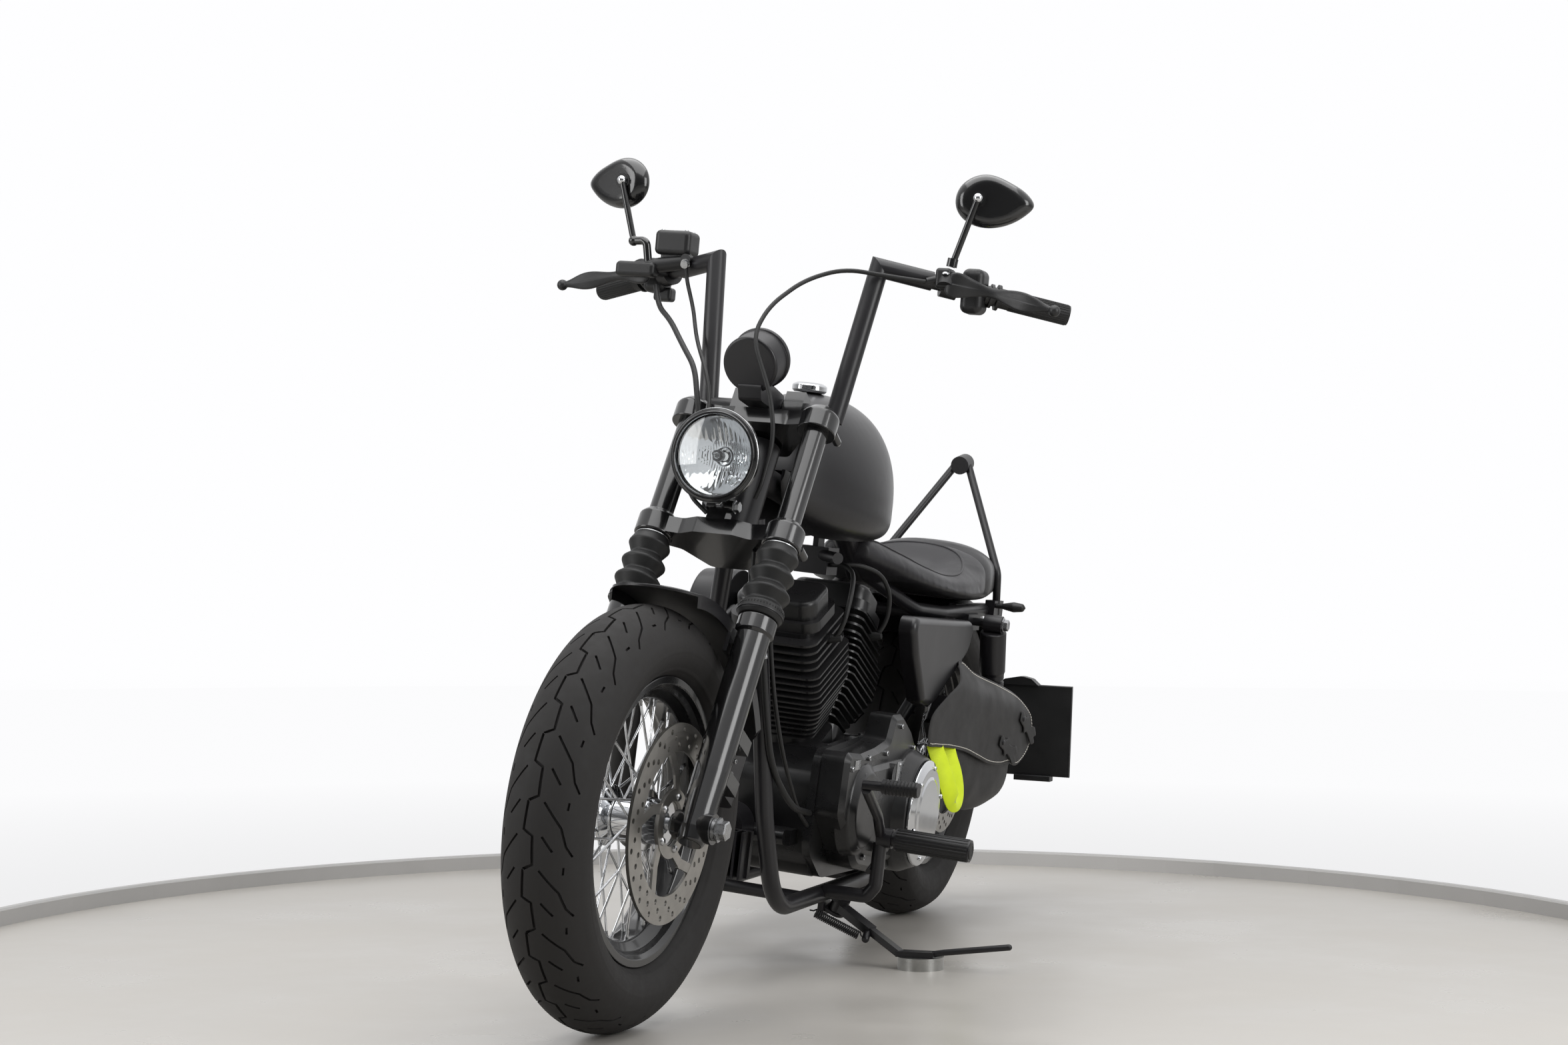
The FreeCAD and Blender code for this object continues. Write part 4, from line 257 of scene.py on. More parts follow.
def hide(name, look):
    # Finished leather: cells of two sizes, creases that catch light, an uneven waxed gloss
    material, tree, shader, coords = startMaterial(name, {"Specular IOR Level": 0.45})
    cells = addNode(tree, "ShaderNodeTexVoronoi", {"feature": "DISTANCE_TO_EDGE", "Scale": perMetre(look["cell"])},
                    {"Vector": coords})
    pores = cloudOf(tree, coords, look["cell"] * 0.4, 3.0)
    cloud = cloudOf(tree, coords, look["cloud"], 5.0)
    setTone(tree, shader, look, cloud)
    setGloss(tree, shader, look, cloud, 0.85, 1.15)
    dome = addNode(tree, "ShaderNodeMapRange", {"From Min": 0.0, "From Max": 0.12, "To Min": 0.0, "To Max": 1.0},
                   {"Value": cells.outputs["Distance"]})
    height = addNode(tree, "ShaderNodeMath", {"operation": "MULTIPLY_ADD", 1: 0.35},
                     {0: pores.outputs["Fac"], 2: dome.outputs[0]})
    setBump(tree, shader, look["bump"], 0.0003, height.outputs[0])
    return material


# Coated seat vinyl, tight and fairly shiny where it is sat on
seatLeather = hide("seatLeather", {"dark": "#1a191c", "light": "#242326", "cell": 1.6, "cloud": 60, "roughness": 0.4,
                                   "bump": 0.2})
# Thick saddle leather, waxed and slightly browned by wear
bagLeather = hide("saddleLeather", {"dark": "#121111", "light": "#1b1919", "cell": 2.4, "cloud": 45, "roughness": 0.48,
                                    "bump": 0.3})


def clearGlass(name, look):
    # Clear moulded glass with faint waviness
    material, tree, shader, coords = startMaterial(name, {"Transmission Weight": 1.0, "IOR": 1.5,
                                                          "Roughness": look["roughness"],
                                                          "Base Color": shade(look["tint"])})
    wave = cloudOf(tree, coords, look["wave"], 1.0)
    setBump(tree, shader, 0.03, 0.0005, wave.outputs["Fac"])
    return material


# Polycarbonate lamp lens
lampGlass = clearGlass("lampGlass", {"tint": "#f4f6f6", "roughness": 0.02, "wave": 14})

nodeFinish = {
    "lower_clamp": glossBlack, "upper_clamp": glossBlack, "fork_tubes": glossBlack, "fork_lowers": glossBlack,
    "fork_gaiters": softRubber, "front_axle": zincSteel, "front_caliper": satinBlack, "front_fender": tankPaint,
    "headlight_shell": glossBlack, "headlight_reflector": chrome, "headlight_lens": lampGlass, "handlebar": satinBlack,
    "grips": softRubber, "left_controls": controlPlastic, "right_controls": controlPlastic, "mirrors": glossBlack,
    "speedometer": satinBlack, "fork_cables": softRubber, "front_tyre": tyreRubber, "front_rim": hubBlack,
    "front_hub": chrome, "front_disc": frontDiscSteel, "rear_tyre": tyreRubber, "rear_rim": hubBlack,
    "rear_hub": chrome, "rear_disc": rearDiscSteel, "rear_pulley": satinBlack, "side_stand": satinBlack,
    "frame_backbone": satinBlack, "frame_cradle": satinBlack, "frame_rear": satinBlack, "swingarm": satinBlack,
    "shocks": satinBlack, "crankcase": engineBlack, "cylinders": engineBlack, "rocker_boxes": engineBlack,
    "primary_cover": engineBlack, "derby_cover": chrome, "cam_cover": engineBlack, "air_cleaner": satinBlack,
    "exhaust": mufflerBlack, "fuel_tank": tankPaint, "fuel_cap": chrome, "seat": seatLeather,
    "rear_fender": tankPaint, "sissy_bar": satinBlack, "rear_signals": controlPlastic, "plate_carrier": controlPlastic,
    "licence_plate": platePaint, "side_covers": tankPaint, "drive_belt": softRubber, "foot_controls": satinBlack,
    "saddlebag": bagLeather, "bag_loop": softRubber, "rear_caliper": satinBlack, "engine_fittings": satinBlack,
    "frame_cables": softRubber, "stand_puck": puckAluminium, "stand_spring": zincSteel,
}
for name, material in nodeFinish.items():
    nodes[name].data.materials.clear()
    nodes[name].data.materials.append(material)
print("materials on", len(nodeFinish), "nodes")

# Body, slot and finish that many small pieces share
forkSteel, frameSteel = ("steering", "axle_steel", zincSteel), ("root", "axle_steel", zincSteel)
forkRubber, frameRubber = ("steering", "soft_rubber", softRubber), ("root", "soft_rubber", softRubber)
forkChrome, forkGlass = ("steering", "chrome", chrome), ("steering", "lamp_glass", lampGlass)
forkBlack, bagSkin = ("steering", "gloss_black", glossBlack), ("root", "bag_leather", bagLeather)


# Camera, at the height of the fork's knees and well to the left of the front wheel
viewpoint = {"place": (1.364059, -4.265401, 0.6472), "yaw": 19.03, "pitch": 1.69, "roll": -0.057, "lens": 58.163}


def makeCamera():
    yaw, pitch, roll = (math.radians(viewpoint[key]) for key in ("yaw", "pitch", "roll"))
    forward = Vector((-math.sin(yaw) * math.cos(pitch), math.cos(yaw) * math.cos(pitch), math.sin(pitch)))
    right = Vector((math.cos(yaw), math.sin(yaw), 0))
    up = right.cross(forward)
    right, up = right * math.cos(roll) - up * math.sin(roll), up * math.cos(roll) + right * math.sin(roll)
    turn = Matrix((right, up, -forward)).transposed().to_4x4()
    data = bpy.data.cameras.new("photoCamera")
    data.sensor_width = 36.0
    data.lens = viewpoint["lens"]
    camera = bpy.data.objects.new("photoCamera", data)
    bpy.context.scene.collection.objects.link(camera)
    camera.matrix_world = Matrix.Translation(viewpoint["place"]) @ turn
    bpy.context.scene.camera = camera


makeCamera()


# Room: a pale concrete floor with a low skirting in a ring, and a white surround
room = {"floorRadius": 14.0, "ringCentre": (-0.1, 0.1), "ringRadius": 1.62, "skirtingHeight": 0.03,
        # The backdrop's glow at the wall's foot is dimmed there as painted shade
        "daylight": 0.6, "surround": 1.0, "mirroredLow": 0.12, "shadedFootGlow": 0.86, "discSides": 128,
        # First angle, sweep and count of the skirting's lengths
        "skirtingArc": (-14, 208, 48)}


def stageDisc(name, inner, outer, material):
    # A flat disc or ring on the floor about the room's centre
    bm = bmesh.new()
    centre = Vector((*room["ringCentre"], 0))
    sides = room["discSides"]
    turns = [2 * math.pi * k / sides for k in range(sides)]
    rings = [[bm.verts.new(centre + Vector((radius * math.cos(turn), radius * math.sin(turn), 0))) for turn in turns]
             for radius in (inner, outer) if radius > 0]
    if len(rings) == 1:
        bm.faces.new(rings[0])
    else:
        for k in range(sides):
            bm.faces.new((rings[0][k], rings[1][k], rings[1][(k + 1) % sides], rings[0][(k + 1) % sides]))
    mesh = bpy.data.meshes.new(name)
    bm.to_mesh(mesh)
    bm.free()
    mesh.materials.append(material)
    disc = bpy.data.objects.new(name, mesh)
    bpy.context.scene.collection.objects.link(disc)


def coveMaterial():
    # The white wall that curves up behind the skirting: the camera sees it as a white glow, dimmed towards the skirting
    # as painted shade, and it lights like any pale floor
    material, tree, shader, coords = startMaterial("whiteCove", {"Roughness": 0.9, "Base Color": shade("#c9c7c3")})
    far = addNode(tree, "ShaderNodeVectorMath", {"operation": "DISTANCE", 1: (*room["ringCentre"], 0)}, {0: coords})
    fall = addNode(tree, "ShaderNodeMapRange", {"From Min": room["ringRadius"], "From Max": 4.5,
                                                "To Min": room["shadedFootGlow"],
                                                "To Max": 0.98}, {"Value": far.outputs["Value"]})
    glow = addNode(tree, "ShaderNodeEmission", {"Color": shade("#fefeff")}, {"Strength": fall.outputs[0]})
    rays = addNode(tree, "ShaderNodeLightPath")
    seen = addNode(tree, "ShaderNodeMath", {"operation": "MAXIMUM"},
                   {0: rays.outputs["Is Camera Ray"], 1: rays.outputs["Is Transmission Ray"]})
    both = addNode(tree, "ShaderNodeMixShader", links={0: seen.outputs[0], 1: shader.outputs[0], 2: glow.outputs[0]})
    output = [node for node in tree.nodes if node.type == "OUTPUT_MATERIAL"][0]
    tree.links.new(both.outputs[0], output.inputs["Surface"])
    return material


def makeRoom():
    material, tree, shader, coords = startMaterial("paleConcrete", {"Specular IOR Level": 0.35})
    large = addNode(tree, "ShaderNodeTexNoise", {"Scale": 2.2, "Detail": 6.0, "Roughness": 0.55}, {"Vector": coords})
    tone = addNode(tree, "ShaderNodeMix", {"data_type": "RGBA", 6: shade("#aaa69f"), 7: shade("#c5c1bb")},
                   {0: large.outputs["Fac"]})
    tree.links.new(tone.outputs[2], shader.inputs["Base Color"])
    gloss = addNode(tree, "ShaderNodeMapRange", {"From Min": 0.35, "From Max": 0.65, "To Min": 0.24, "To Max": 0.46},
                    {"Value": large.outputs["Fac"]})
    tree.links.new(gloss.outputs[0], shader.inputs["Roughness"])
    stageDisc("floor", 0.0, room["ringRadius"], material)
    stageDisc("cove", room["ringRadius"], room["floorRadius"], coveMaterial())
    # A low grey skirting stands behind the machine
    bm = bmesh.new()
    rows = []
    first, whole, lengths = room["skirtingArc"]
    for k in range(lengths + 1):
        angle = math.radians(first + whole * k / lengths)
        out = Vector((math.cos(angle), math.sin(angle), 0))
        foot = Vector((room["ringCentre"][0], room["ringCentre"][1], 0))
        rows.append([bm.verts.new(foot + out * (room["ringRadius"] + deep) + Vector((0, 0, z)))
                     for deep, z in ((0, 0), (0, room["skirtingHeight"]), (0.004, room["skirtingHeight"] + 0.004),
                                     (0.02, room["skirtingHeight"] + 0.004), (0.02, 0))])
    for near, far in zip(rows, rows[1:]):
        for k in range(4):
            bm.faces.new((near[k], near[k + 1], far[k + 1], far[k]))
    mesh = bpy.data.meshes.new("skirting")
    bm.to_mesh(mesh)
    bm.free()
    mesh.materials.append(coatedMetal("skirtingPaint", {"dark": "#a9a8a6", "light": "#bbb9b7", "cloud": 300,
                                                        "roughness": 0.5,
                                                        "grain": 3.0, "bump": 0.05, "dust": 0.0}))
    skirting = bpy.data.objects.new("skirting", mesh)
    bpy.context.scene.collection.objects.link(skirting)
    world = bpy.data.worlds.new("whiteRoom")
    bpy.context.scene.world = world
    world.use_nodes = True
    tree = world.node_tree
    tree.nodes.clear()
    # Lit evenly; seen as white, dimmed just below the horizon as painted shade at the wall's foot, and mirrored as a
    # room that is dark low in front, as in the studio
    rays = addNode(tree, "ShaderNodeLightPath")
    way = addNode(tree, "ShaderNodeSeparateXYZ",
                  links={0: addNode(tree, "ShaderNodeTexCoord").outputs["Generated"]})
    back = addNode(tree, "ShaderNodeMath", {"operation": "MULTIPLY", 1: 0.45}, {0: way.outputs["Y"]})
    share = addNode(tree, "ShaderNodeMath", {"operation": "MULTIPLY_ADD", 1: 0.9},
                    {0: way.outputs["Z"], 2: back.outputs[0]})
    fall = addNode(tree, "ShaderNodeMapRange", {"From Min": -0.35, "From Max": 0.75, "To Min": room["mirroredLow"],
                                                "To Max": 1.0, "interpolation_type": "SMOOTHSTEP"},
                   {"Value": share.outputs[0]})
    light = addNode(tree, "ShaderNodeBackground", {"Color": shade("#f6f7f9"), "Strength": room["daylight"]})
    # Seen directly, the surround glows dimmer just below the horizon: painted shade at the wall's foot
    wall = addNode(tree, "ShaderNodeMapRange", {"From Min": -0.13, "From Max": -0.03, "To Min": room["shadedFootGlow"],
                                                "To Max": room["surround"]}, {"Value": way.outputs["Z"]})
    white = addNode(tree, "ShaderNodeBackground", {"Color": shade("#fefeff")}, {"Strength": wall.outputs[0]})
    mirrored = addNode(tree, "ShaderNodeBackground", {"Color": shade("#fbfbfc")}, {"Strength": fall.outputs[0]})
    seen = addNode(tree, "ShaderNodeMath", {"operation": "MAXIMUM"},
                   {0: rays.outputs["Is Camera Ray"], 1: rays.outputs["Is Transmission Ray"]})
    first = addNode(tree, "ShaderNodeMixShader",
                    links={0: rays.outputs["Is Glossy Ray"], 1: light.outputs[0], 2: mirrored.outputs[0]})
    both = addNode(tree, "ShaderNodeMixShader", links={0: seen.outputs[0], 1: first.outputs[0], 2: white.outputs[0]})
    addNode(tree, "ShaderNodeOutputWorld", links={"Surface": both.outputs[0]})


makeRoom()

# Soft boxes: overhead, from the camera's left and from its right
softBoxes = [
    {"name": "overheadBox", "place": (0.1, -0.4, 3.0), "aim": (0, 0, 0.5), "size": (2.6, 3.4), "power": 60},
    {"name": "leftBox", "place": (-2.6, -2.6, 1.8), "aim": (0, -0.3, 0.6), "size": (1.6, 2.2), "power": 45},
    {"name": "rightBox", "place": (3.2, -1.2, 1.7), "aim": (0, 0, 0.5), "size": (1.4, 2.2), "power": 45},
]
for box in softBoxes:
    data = bpy.data.lights.new(box["name"], "AREA")
    data.shape = "RECTANGLE"
    data.size, data.size_y = box["size"]
    data.energy = box["power"]
    lamp = bpy.data.objects.new(box["name"], data)
    bpy.context.scene.collection.objects.link(lamp)
    lamp.location = box["place"]
    lamp.rotation_euler = (Vector(box["place"]) - Vector(box["aim"])).to_track_quat("Z", "Y").to_euler()
bpy.context.scene.view_settings.view_transform = "Standard"
print("camera, room and lights ready")

# Mesh tools

def finishPiece(name, mesh, body, slotName, material, place=None, smoothAngle=35.0, replaces=()):
    # A mesh drawn in millimetres goes to its place in metres, rides on its body and gets its finish
    mesh.transform(placeOf[body] @ place if place is not None else placeOf[body])
    if place is not None and place.determinant() < 0:
        mesh.flip_normals()
    mesh.materials.clear()
    mesh.materials.append(material)
    if smoothAngle is not None:
        mesh.shade_smooth()
        mesh.set_sharp_from_angle(angle=math.radians(smoothAngle))
    mesh.name = name
    piece = bpy.data.objects.new(name, mesh)
    bpy.context.scene.collection.objects.link(piece)
    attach(piece, body)
    if replaces:
        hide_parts(*replaces)
    return piece


def toMesh(bm, outward=True):
    bmesh.ops.remove_doubles(bm, verts=bm.verts, dist=0.001)
    if outward:
        bmesh.ops.recalc_face_normals(bm, faces=bm.faces)
    mesh = bpy.data.meshes.new("shape")
    bm.to_mesh(mesh)
    bm.free()
    return mesh


def lathe(bm, profile, steps, place=None, closed=True):
    # Spins a profile of (along x, radius) about the x axis; a closed profile makes a ring
    place = place or Matrix()
    rings = []
    for step in range(steps):
        angle = 2 * math.pi * step / steps
        rings.append([bm.verts.new(place @ Vector((x, r * math.cos(angle), r * math.sin(angle)))) for x, r in profile])
    count = len(profile)
    for step in range(steps):
        near, far = rings[step], rings[(step + 1) % steps]
        for index in range(count if closed else count - 1):
            following = (index + 1) % count
            corners = []
            for vert in (near[index], near[following], far[following], far[index]):
                if all((vert.co - other.co).length > 1e-6 for other in corners):
                    corners.append(vert)
            if len(corners) > 2:
                bm.faces.new(corners)


def bridge(bm, rings):
    # Quads between closed rings of one count
    count = len(rings[0])
    for near, far in zip(rings, rings[1:]):
        for k in range(count):
            bm.faces.new((near[k], near[(k + 1) % count], far[(k + 1) % count], far[k]))


def capEnds(bm, rings):
    bm.faces.new(list(reversed(rings[0])))
    bm.faces.new(rings[-1])


def evaluated(item):
    # An object's mesh with its modifiers worked out
    bpy.context.view_layer.update()
    return bpy.data.meshes.new_from_object(item.evaluated_get(bpy.context.evaluated_depsgraph_get()))


def arcPoints(centre, radius, start, end, steps):
    return [(centre[0] + radius * math.sin(math.radians(start + (end - start) * k / steps)),
             centre[1] + radius * math.cos(math.radians(start + (end - start) * k / steps))) for k in range(steps + 1)]


def smoothPath(points, perRun=8, closed=False):
    # A Catmull-Rom line through the points
    points = [Vector(p) for p in points]
    count = len(points)
    line = []
    for index in range(count if closed else count - 1):
        around = [points[(index + k) % count] if closed else points[min(max(index + k, 0), count - 1)]
                  for k in (-1, 0, 1, 2)]
        for step in range(perRun):
            t = step / perRun
            line.append(0.5 * (2 * around[1] + (around[2] - around[0]) * t
                               + (2 * around[0] - 5 * around[1] + 4 * around[2] - around[3]) * t * t
                               + (3 * around[1] - around[0] - 3 * around[2] + around[3]) * t ** 3))
    if not closed:
        line.append(points[-1])
    return line


def sweep(bm, line, section, closed=False, upHint=None):
    # Carries a closed section of (across, up) offsets along a line without twisting it
    # A section may be a function of the share of the line
    count = len(line)
    ways = []
    for index in range(count):
        before = line[index - 1] if index or closed else line[0]
        after = line[(index + 1) % count] if index < count - 1 or closed else line[-1]
        ways.append((after - before).normalized())
    up = (upHint or (Vector((0, 0, 1)) if abs(ways[0].z) < 0.9 else Vector((1, 0, 0)))).copy()
    rings = []
    for index in range(count):
        if upHint is not None:
            up = upHint
        up = (up - ways[index] * up.dot(ways[index])).normalized()
        across = ways[index].cross(up)
        shape = section(index / (count - 1)) if callable(section) else section
        rings.append([bm.verts.new(line[index] + across * a + up * b) for a, b in shape])
    sides = len(rings[0])
    for index in range(count if closed else count - 1):
        near, far = rings[index], rings[(index + 1) % count]
        for k in range(sides):
            bm.faces.new((near[k], near[(k + 1) % sides], far[(k + 1) % sides], far[k]))
    if not closed:
        capEnds(bm, rings)


def roundSection(radius, sides=10):
    return [(radius * math.cos(2 * math.pi * k / sides), radius * math.sin(2 * math.pi * k / sides))
            for k in range(sides)]


def flatSection(width, thickness, edge=0.4):
    w, t = width / 2, thickness / 2
    return [(-w, -t + edge), (-w + edge, -t), (w - edge, -t), (w, -t + edge), (w, t - edge), (w - edge, t),
            (-w + edge, t), (-w, t - edge)]


def aim(point, facing, along=None):
    # A matrix whose +Z looks along a direction and whose +X keeps near another
    facing = Vector(facing).normalized()
    hint = Vector(along) if along is not None else (Vector((0, 0, 1)) if abs(facing.z) < 0.9 else Vector((0, 1, 0)))
    side = (hint - facing * hint.dot(facing)).normalized()
    turn = Matrix((side, facing.cross(side), facing)).transposed().to_4x4()
    return Matrix.Translation(point) @ turn


# Stands a lathe's x axis up on z
standUp = Matrix.Rotation(math.radians(-90), 4, "Y")


# What repeats: small parts set on points by Geometry Nodes

def repeatTree():
    tree = bpy.data.node_groups.new("setSmallParts", "GeometryNodeTree")
    sockets = [("Spots", "NodeSocketGeometry", None), ("Small Part", "NodeSocketObject", None),
               ("Size", "NodeSocketFloat", 1.0), ("Turn", "NodeSocketFloat", 0.0), ("Seed", "NodeSocketInt", 7),
               ("Finish", "NodeSocketMaterial", None)]
    for name, kind, value in sockets:
        socket = tree.interface.new_socket(name=name, in_out="INPUT", socket_type=kind)
        if value is not None:
            socket.default_value = value
    tree.interface.new_socket(name="Parts", in_out="OUTPUT", socket_type="NodeSocketGeometry")
    given = addNode(tree, "NodeGroupInput").outputs
    facing = addNode(tree, "GeometryNodeInputNamedAttribute", {"data_type": "FLOAT_VECTOR", "Name": "facing"})
    along = addNode(tree, "GeometryNodeInputNamedAttribute", {"data_type": "FLOAT_VECTOR", "Name": "along"})
    scale = addNode(tree, "GeometryNodeInputNamedAttribute", {"data_type": "FLOAT", "Name": "scale"})
    upright = addNode(tree, "FunctionNodeAlignRotationToVector", {"axis": "Z"}, {"Vector": facing.outputs[0]})
    turned = addNode(tree, "FunctionNodeAlignRotationToVector", {"axis": "X", "pivot_axis": "Z"},
                     {"Rotation": upright.outputs[0], "Vector": along.outputs[0]})
    least = addNode(tree, "ShaderNodeMath", {"operation": "MULTIPLY", 1: -1.0}, {0: given["Turn"]})
    chance = addNode(tree, "FunctionNodeRandomValue", {"data_type": "FLOAT"},
                     {2: least.outputs[0], 3: given["Turn"], "Seed": given["Seed"]})
    spin = addNode(tree, "ShaderNodeCombineXYZ", links={"Z": chance.outputs[1]})
    loose = addNode(tree, "FunctionNodeRotateRotation", {"rotation_space": "LOCAL"},
                    {"Rotation": turned.outputs[0], "Rotate By": spin.outputs[0]})
    size = addNode(tree, "ShaderNodeMath", {"operation": "MULTIPLY"}, {0: scale.outputs[0], 1: given["Size"]})
    part = addNode(tree, "GeometryNodeObjectInfo", links={"Object": given["Small Part"]})
    spots = addNode(tree, "GeometryNodeMeshToPoints", links={"Mesh": given["Spots"]})
    copies = addNode(tree, "GeometryNodeInstanceOnPoints",
                     links={"Points": spots.outputs[0], "Instance": part.outputs["Geometry"],
                            "Rotation": loose.outputs[0], "Scale": size.outputs[0]})
    real = addNode(tree, "GeometryNodeRealizeInstances", links={"Geometry": copies.outputs[0]})
    finish = addNode(tree, "GeometryNodeSetMaterial", links={"Geometry": real.outputs[0], "Material": given["Finish"]})
    addNode(tree, "NodeGroupOutput", links={"Parts": finish.outputs[0]})
    return tree


smallPartTree = repeatTree()


def setRepeats(name, part, spots, body, slotName, material, turn=0.0, place=None, smoothAngle=35.0):
    # Spots are (point, facing, along, scale) in millimetres; the part is a mesh about its own origin, +Z outwards
    holder = bpy.data.objects.new(name + "One", part)
    mesh = bpy.data.meshes.new(name + "Spots")
    mesh.from_pydata([Vector(s[0]) for s in spots], [], [])
    for key, kind, index in (("facing", "FLOAT_VECTOR", 1), ("along", "FLOAT_VECTOR", 2), ("scale", "FLOAT", 3)):
        layer = mesh.attributes.new(key, kind, "POINT")
        for at, spot in enumerate(spots):
            if kind == "FLOAT":
                layer.data[at].value = spot[index]
            else:
                layer.data[at].vector = Vector(spot[index])
    seat = bpy.data.objects.new(name + "Seat", mesh)
    bpy.context.scene.collection.objects.link(seat)
    maker = seat.modifiers.new("setSmallParts", "NODES")
    maker.node_group = smallPartTree
    wanted = {"Small Part": holder, "Turn": turn, "Finish": material}
    for item in smallPartTree.interface.items_tree:
        if item.item_type == "SOCKET" and item.in_out == "INPUT" and item.name in wanted:
            maker[item.identifier] = wanted[item.name]
    made = evaluated(seat)
    seat.modifiers.remove(maker)
    bpy.data.objects.remove(seat)
    bpy.data.objects.remove(holder)
    return finishPiece(name, made, body, slotName, material, place, smoothAngle)


def headMesh(profile, socketWidth=0.0, socketDepth=0.0, sides=12):
    # A turned screw head about +Z, with a six-sided socket where it has one
    bm = bmesh.new()
    rings = [[bm.verts.new((r * math.cos(2 * math.pi * k / sides), r * math.sin(2 * math.pi * k / sides), h))
              for k in range(sides)] for r, h in profile]
    if socketWidth:
        for depth in (profile[-1][1], profile[-1][1] - socketDepth):
            ring = []
            for k in range(sides):
                angle = 2 * math.pi * k / sides
                bulge = socketWidth / 2 / math.cos(math.radians((math.degrees(angle) + 30) % 60 - 30))
                ring.append(bm.verts.new((bulge * math.cos(angle), bulge * math.sin(angle), depth)))
            rings.append(ring)
    bridge(bm, rings)
    capEnds(bm, rings)
    return toMesh(bm)


socketHead = headMesh([(5.0, 0), (5.0, 4.4), (4.4, 5.2)], 4.4, 2.6)
buttonHead = headMesh([(5.2, 0), (5.2, 0.8), (4.4, 2.4), (2.9, 3.4)], 3.0, 1.6)
hexHead = headMesh([(6.6, 0), (6.6, 1.2), (5.2, 1.3), (5.2, 5.0), (4.6, 5.6)], 0, 0, 6)
domeRivet = headMesh([(4.6, 0), (4.4, 1.2), (3.0, 2.3), (1.2, 2.7)])


# Tyres, with their tread cut into them

tyres = {
    "front": {"body": "front_wheel", "axle": stance["frontAxle"], "radius": 320.0, "half": 66.0, "crown": 66.0,
              "rim": 92.0, "pitches": 21, "node": "front_tyre"},
    "rear": {"body": "rear_wheel", "axle": stance["rearAxle"], "radius": 323.0, "half": 76.0, "crown": 100.0,
             "rim": 104.0, "pitches": 20, "node": "rear_tyre"},
    "bead": 204.3, "wall": 9.0, "grooveWidth": 3.0, "grooveDepth": 4.5, "steps": 160,
}


def circleThrough(a, b, c):
    # Centre and radius of the circle through three points of a plane
    ax, ay, bx, by, cx, cy = *a, *b, *c
    d = 2 * (ax * (by - cy) + bx * (cy - ay) + cx * (ay - by))
    ux = ((ax * ax + ay * ay) * (by - cy) + (bx * bx + by * by) * (cy - ay) + (cx * cx + cy * cy) * (ay - by)) / d
    uy = ((ax * ax + ay * ay) * (cx - bx) + (bx * bx + by * by) * (ax - cx) + (cx * cx + cy * cy) * (bx - ax)) / d
    return (ux, uy), math.hypot(ax - ux, ay - uy)


def sidewall(tyre, inset):
    # From the shoulder down to the flange, inset from the outside; two raised rings on the outer face
    shoulderX = min(tyre["half"] - 4.0, 0.94 * tyre["crown"])
    drop = tyre["crown"] - math.sqrt(tyre["crown"] ** 2 - shoulderX ** 2)
    belly = tyres["bead"] + 0.42 * (tyre["radius"] - tyres["bead"])
    beadX = tyre["rim"] / 2 - 5.3
    top = (shoulderX - inset * 0.8, tyre["radius"] - drop - inset * 0.4)
    wide = (tyre["half"] - inset, belly)
    low = (beadX - inset * 0.6, tyres["bead"] + 12.0)
    (cx, cy), radius = circleThrough(top, wide, low)
    first, last = (math.degrees(math.atan2(p[0] - cx, p[1] - cy)) for p in (top, low))
    points = []
    for step in range(1, 29):
        share = step / 29
        swell = 0.0
        if not inset:
            swell = 0.9 if 0.70 < share < 0.78 else (0.5 if 0.28 < share < 0.33 else 0.0)
        angle = math.radians(first + (last - first) * share)
        points.append((cx + (radius + swell) * math.sin(angle), cy + (radius + swell) * math.cos(angle)))
    return [top] + points + [low]


def tyreProfile(tyre):
    outer = arcPoints((0, tyre["radius"] - tyre["crown"]), tyre["crown"], 0,
                      math.degrees(math.asin(sidewall(tyre, 0.0)[0][0] / tyre["crown"])), 14)[:-1] + sidewall(tyre, 0.0)
    beadX = tyre["rim"] / 2 - 5.3
    inner = [(beadX - 0.4, tyres["bead"]), (beadX - 12.0, tyres["bead"])]
    wall = tyres["wall"]
    inner += list(reversed(sidewall(tyre, wall)[::6]))
    crownIn = tyre["crown"] - wall
    limit = math.degrees(math.asin(min(0.99, inner[-1][0] / crownIn)))
    inner += list(reversed(arcPoints((0, tyre["radius"] - tyre["crown"]), crownIn, 0, limit, 5)))[1:]
    half = outer + inner
    return half + [(-x, r) for x, r in reversed(half[1:-1])]


def grooveBody(bm, tyre, route, width):
    # A cutter that follows (along, across) points laid on the crown, in millimetres
    depth = tyres["grooveDepth"]
    line = []
    for (u0, s0), (u1, s1) in zip(route, route[1:]):
        pieces = max(1, round(math.hypot(u1 - u0, s1 - s0) / 9))
        line += [(u0 + (u1 - u0) * k / pieces, s0 + (s1 - s0) * k / pieces) for k in range(pieces)]
    line.append(route[-1])
    rings = []
    for index, (u, s) in enumerate(line):
        ahead, behind = line[min(index + 1, len(line) - 1)], line[max(index - 1, 0)]
        du, ds = ahead[0] - behind[0], ahead[1] - behind[1]
        length = math.hypot(du, ds)
        du, ds = du / length, ds / length
        ring = []
        for side, lift in ((-1, -depth), (1, -depth), (1.25, 4.0), (-1.25, 4.0)):
            phi = (s + side * width / 2 * du) / tyre["crown"]
            angle = (u - side * width / 2 * ds) / tyre["radius"]
            radial = tyre["radius"] - tyre["crown"] + (tyre["crown"] + lift) * math.cos(phi)
            ring.append(bm.verts.new(((tyre["crown"] + lift) * math.sin(phi), radial * math.cos(angle),
                                      radial * math.sin(angle))))
        rings.append(ring)
    bridge(bm, rings)
    capEnds(bm, rings)


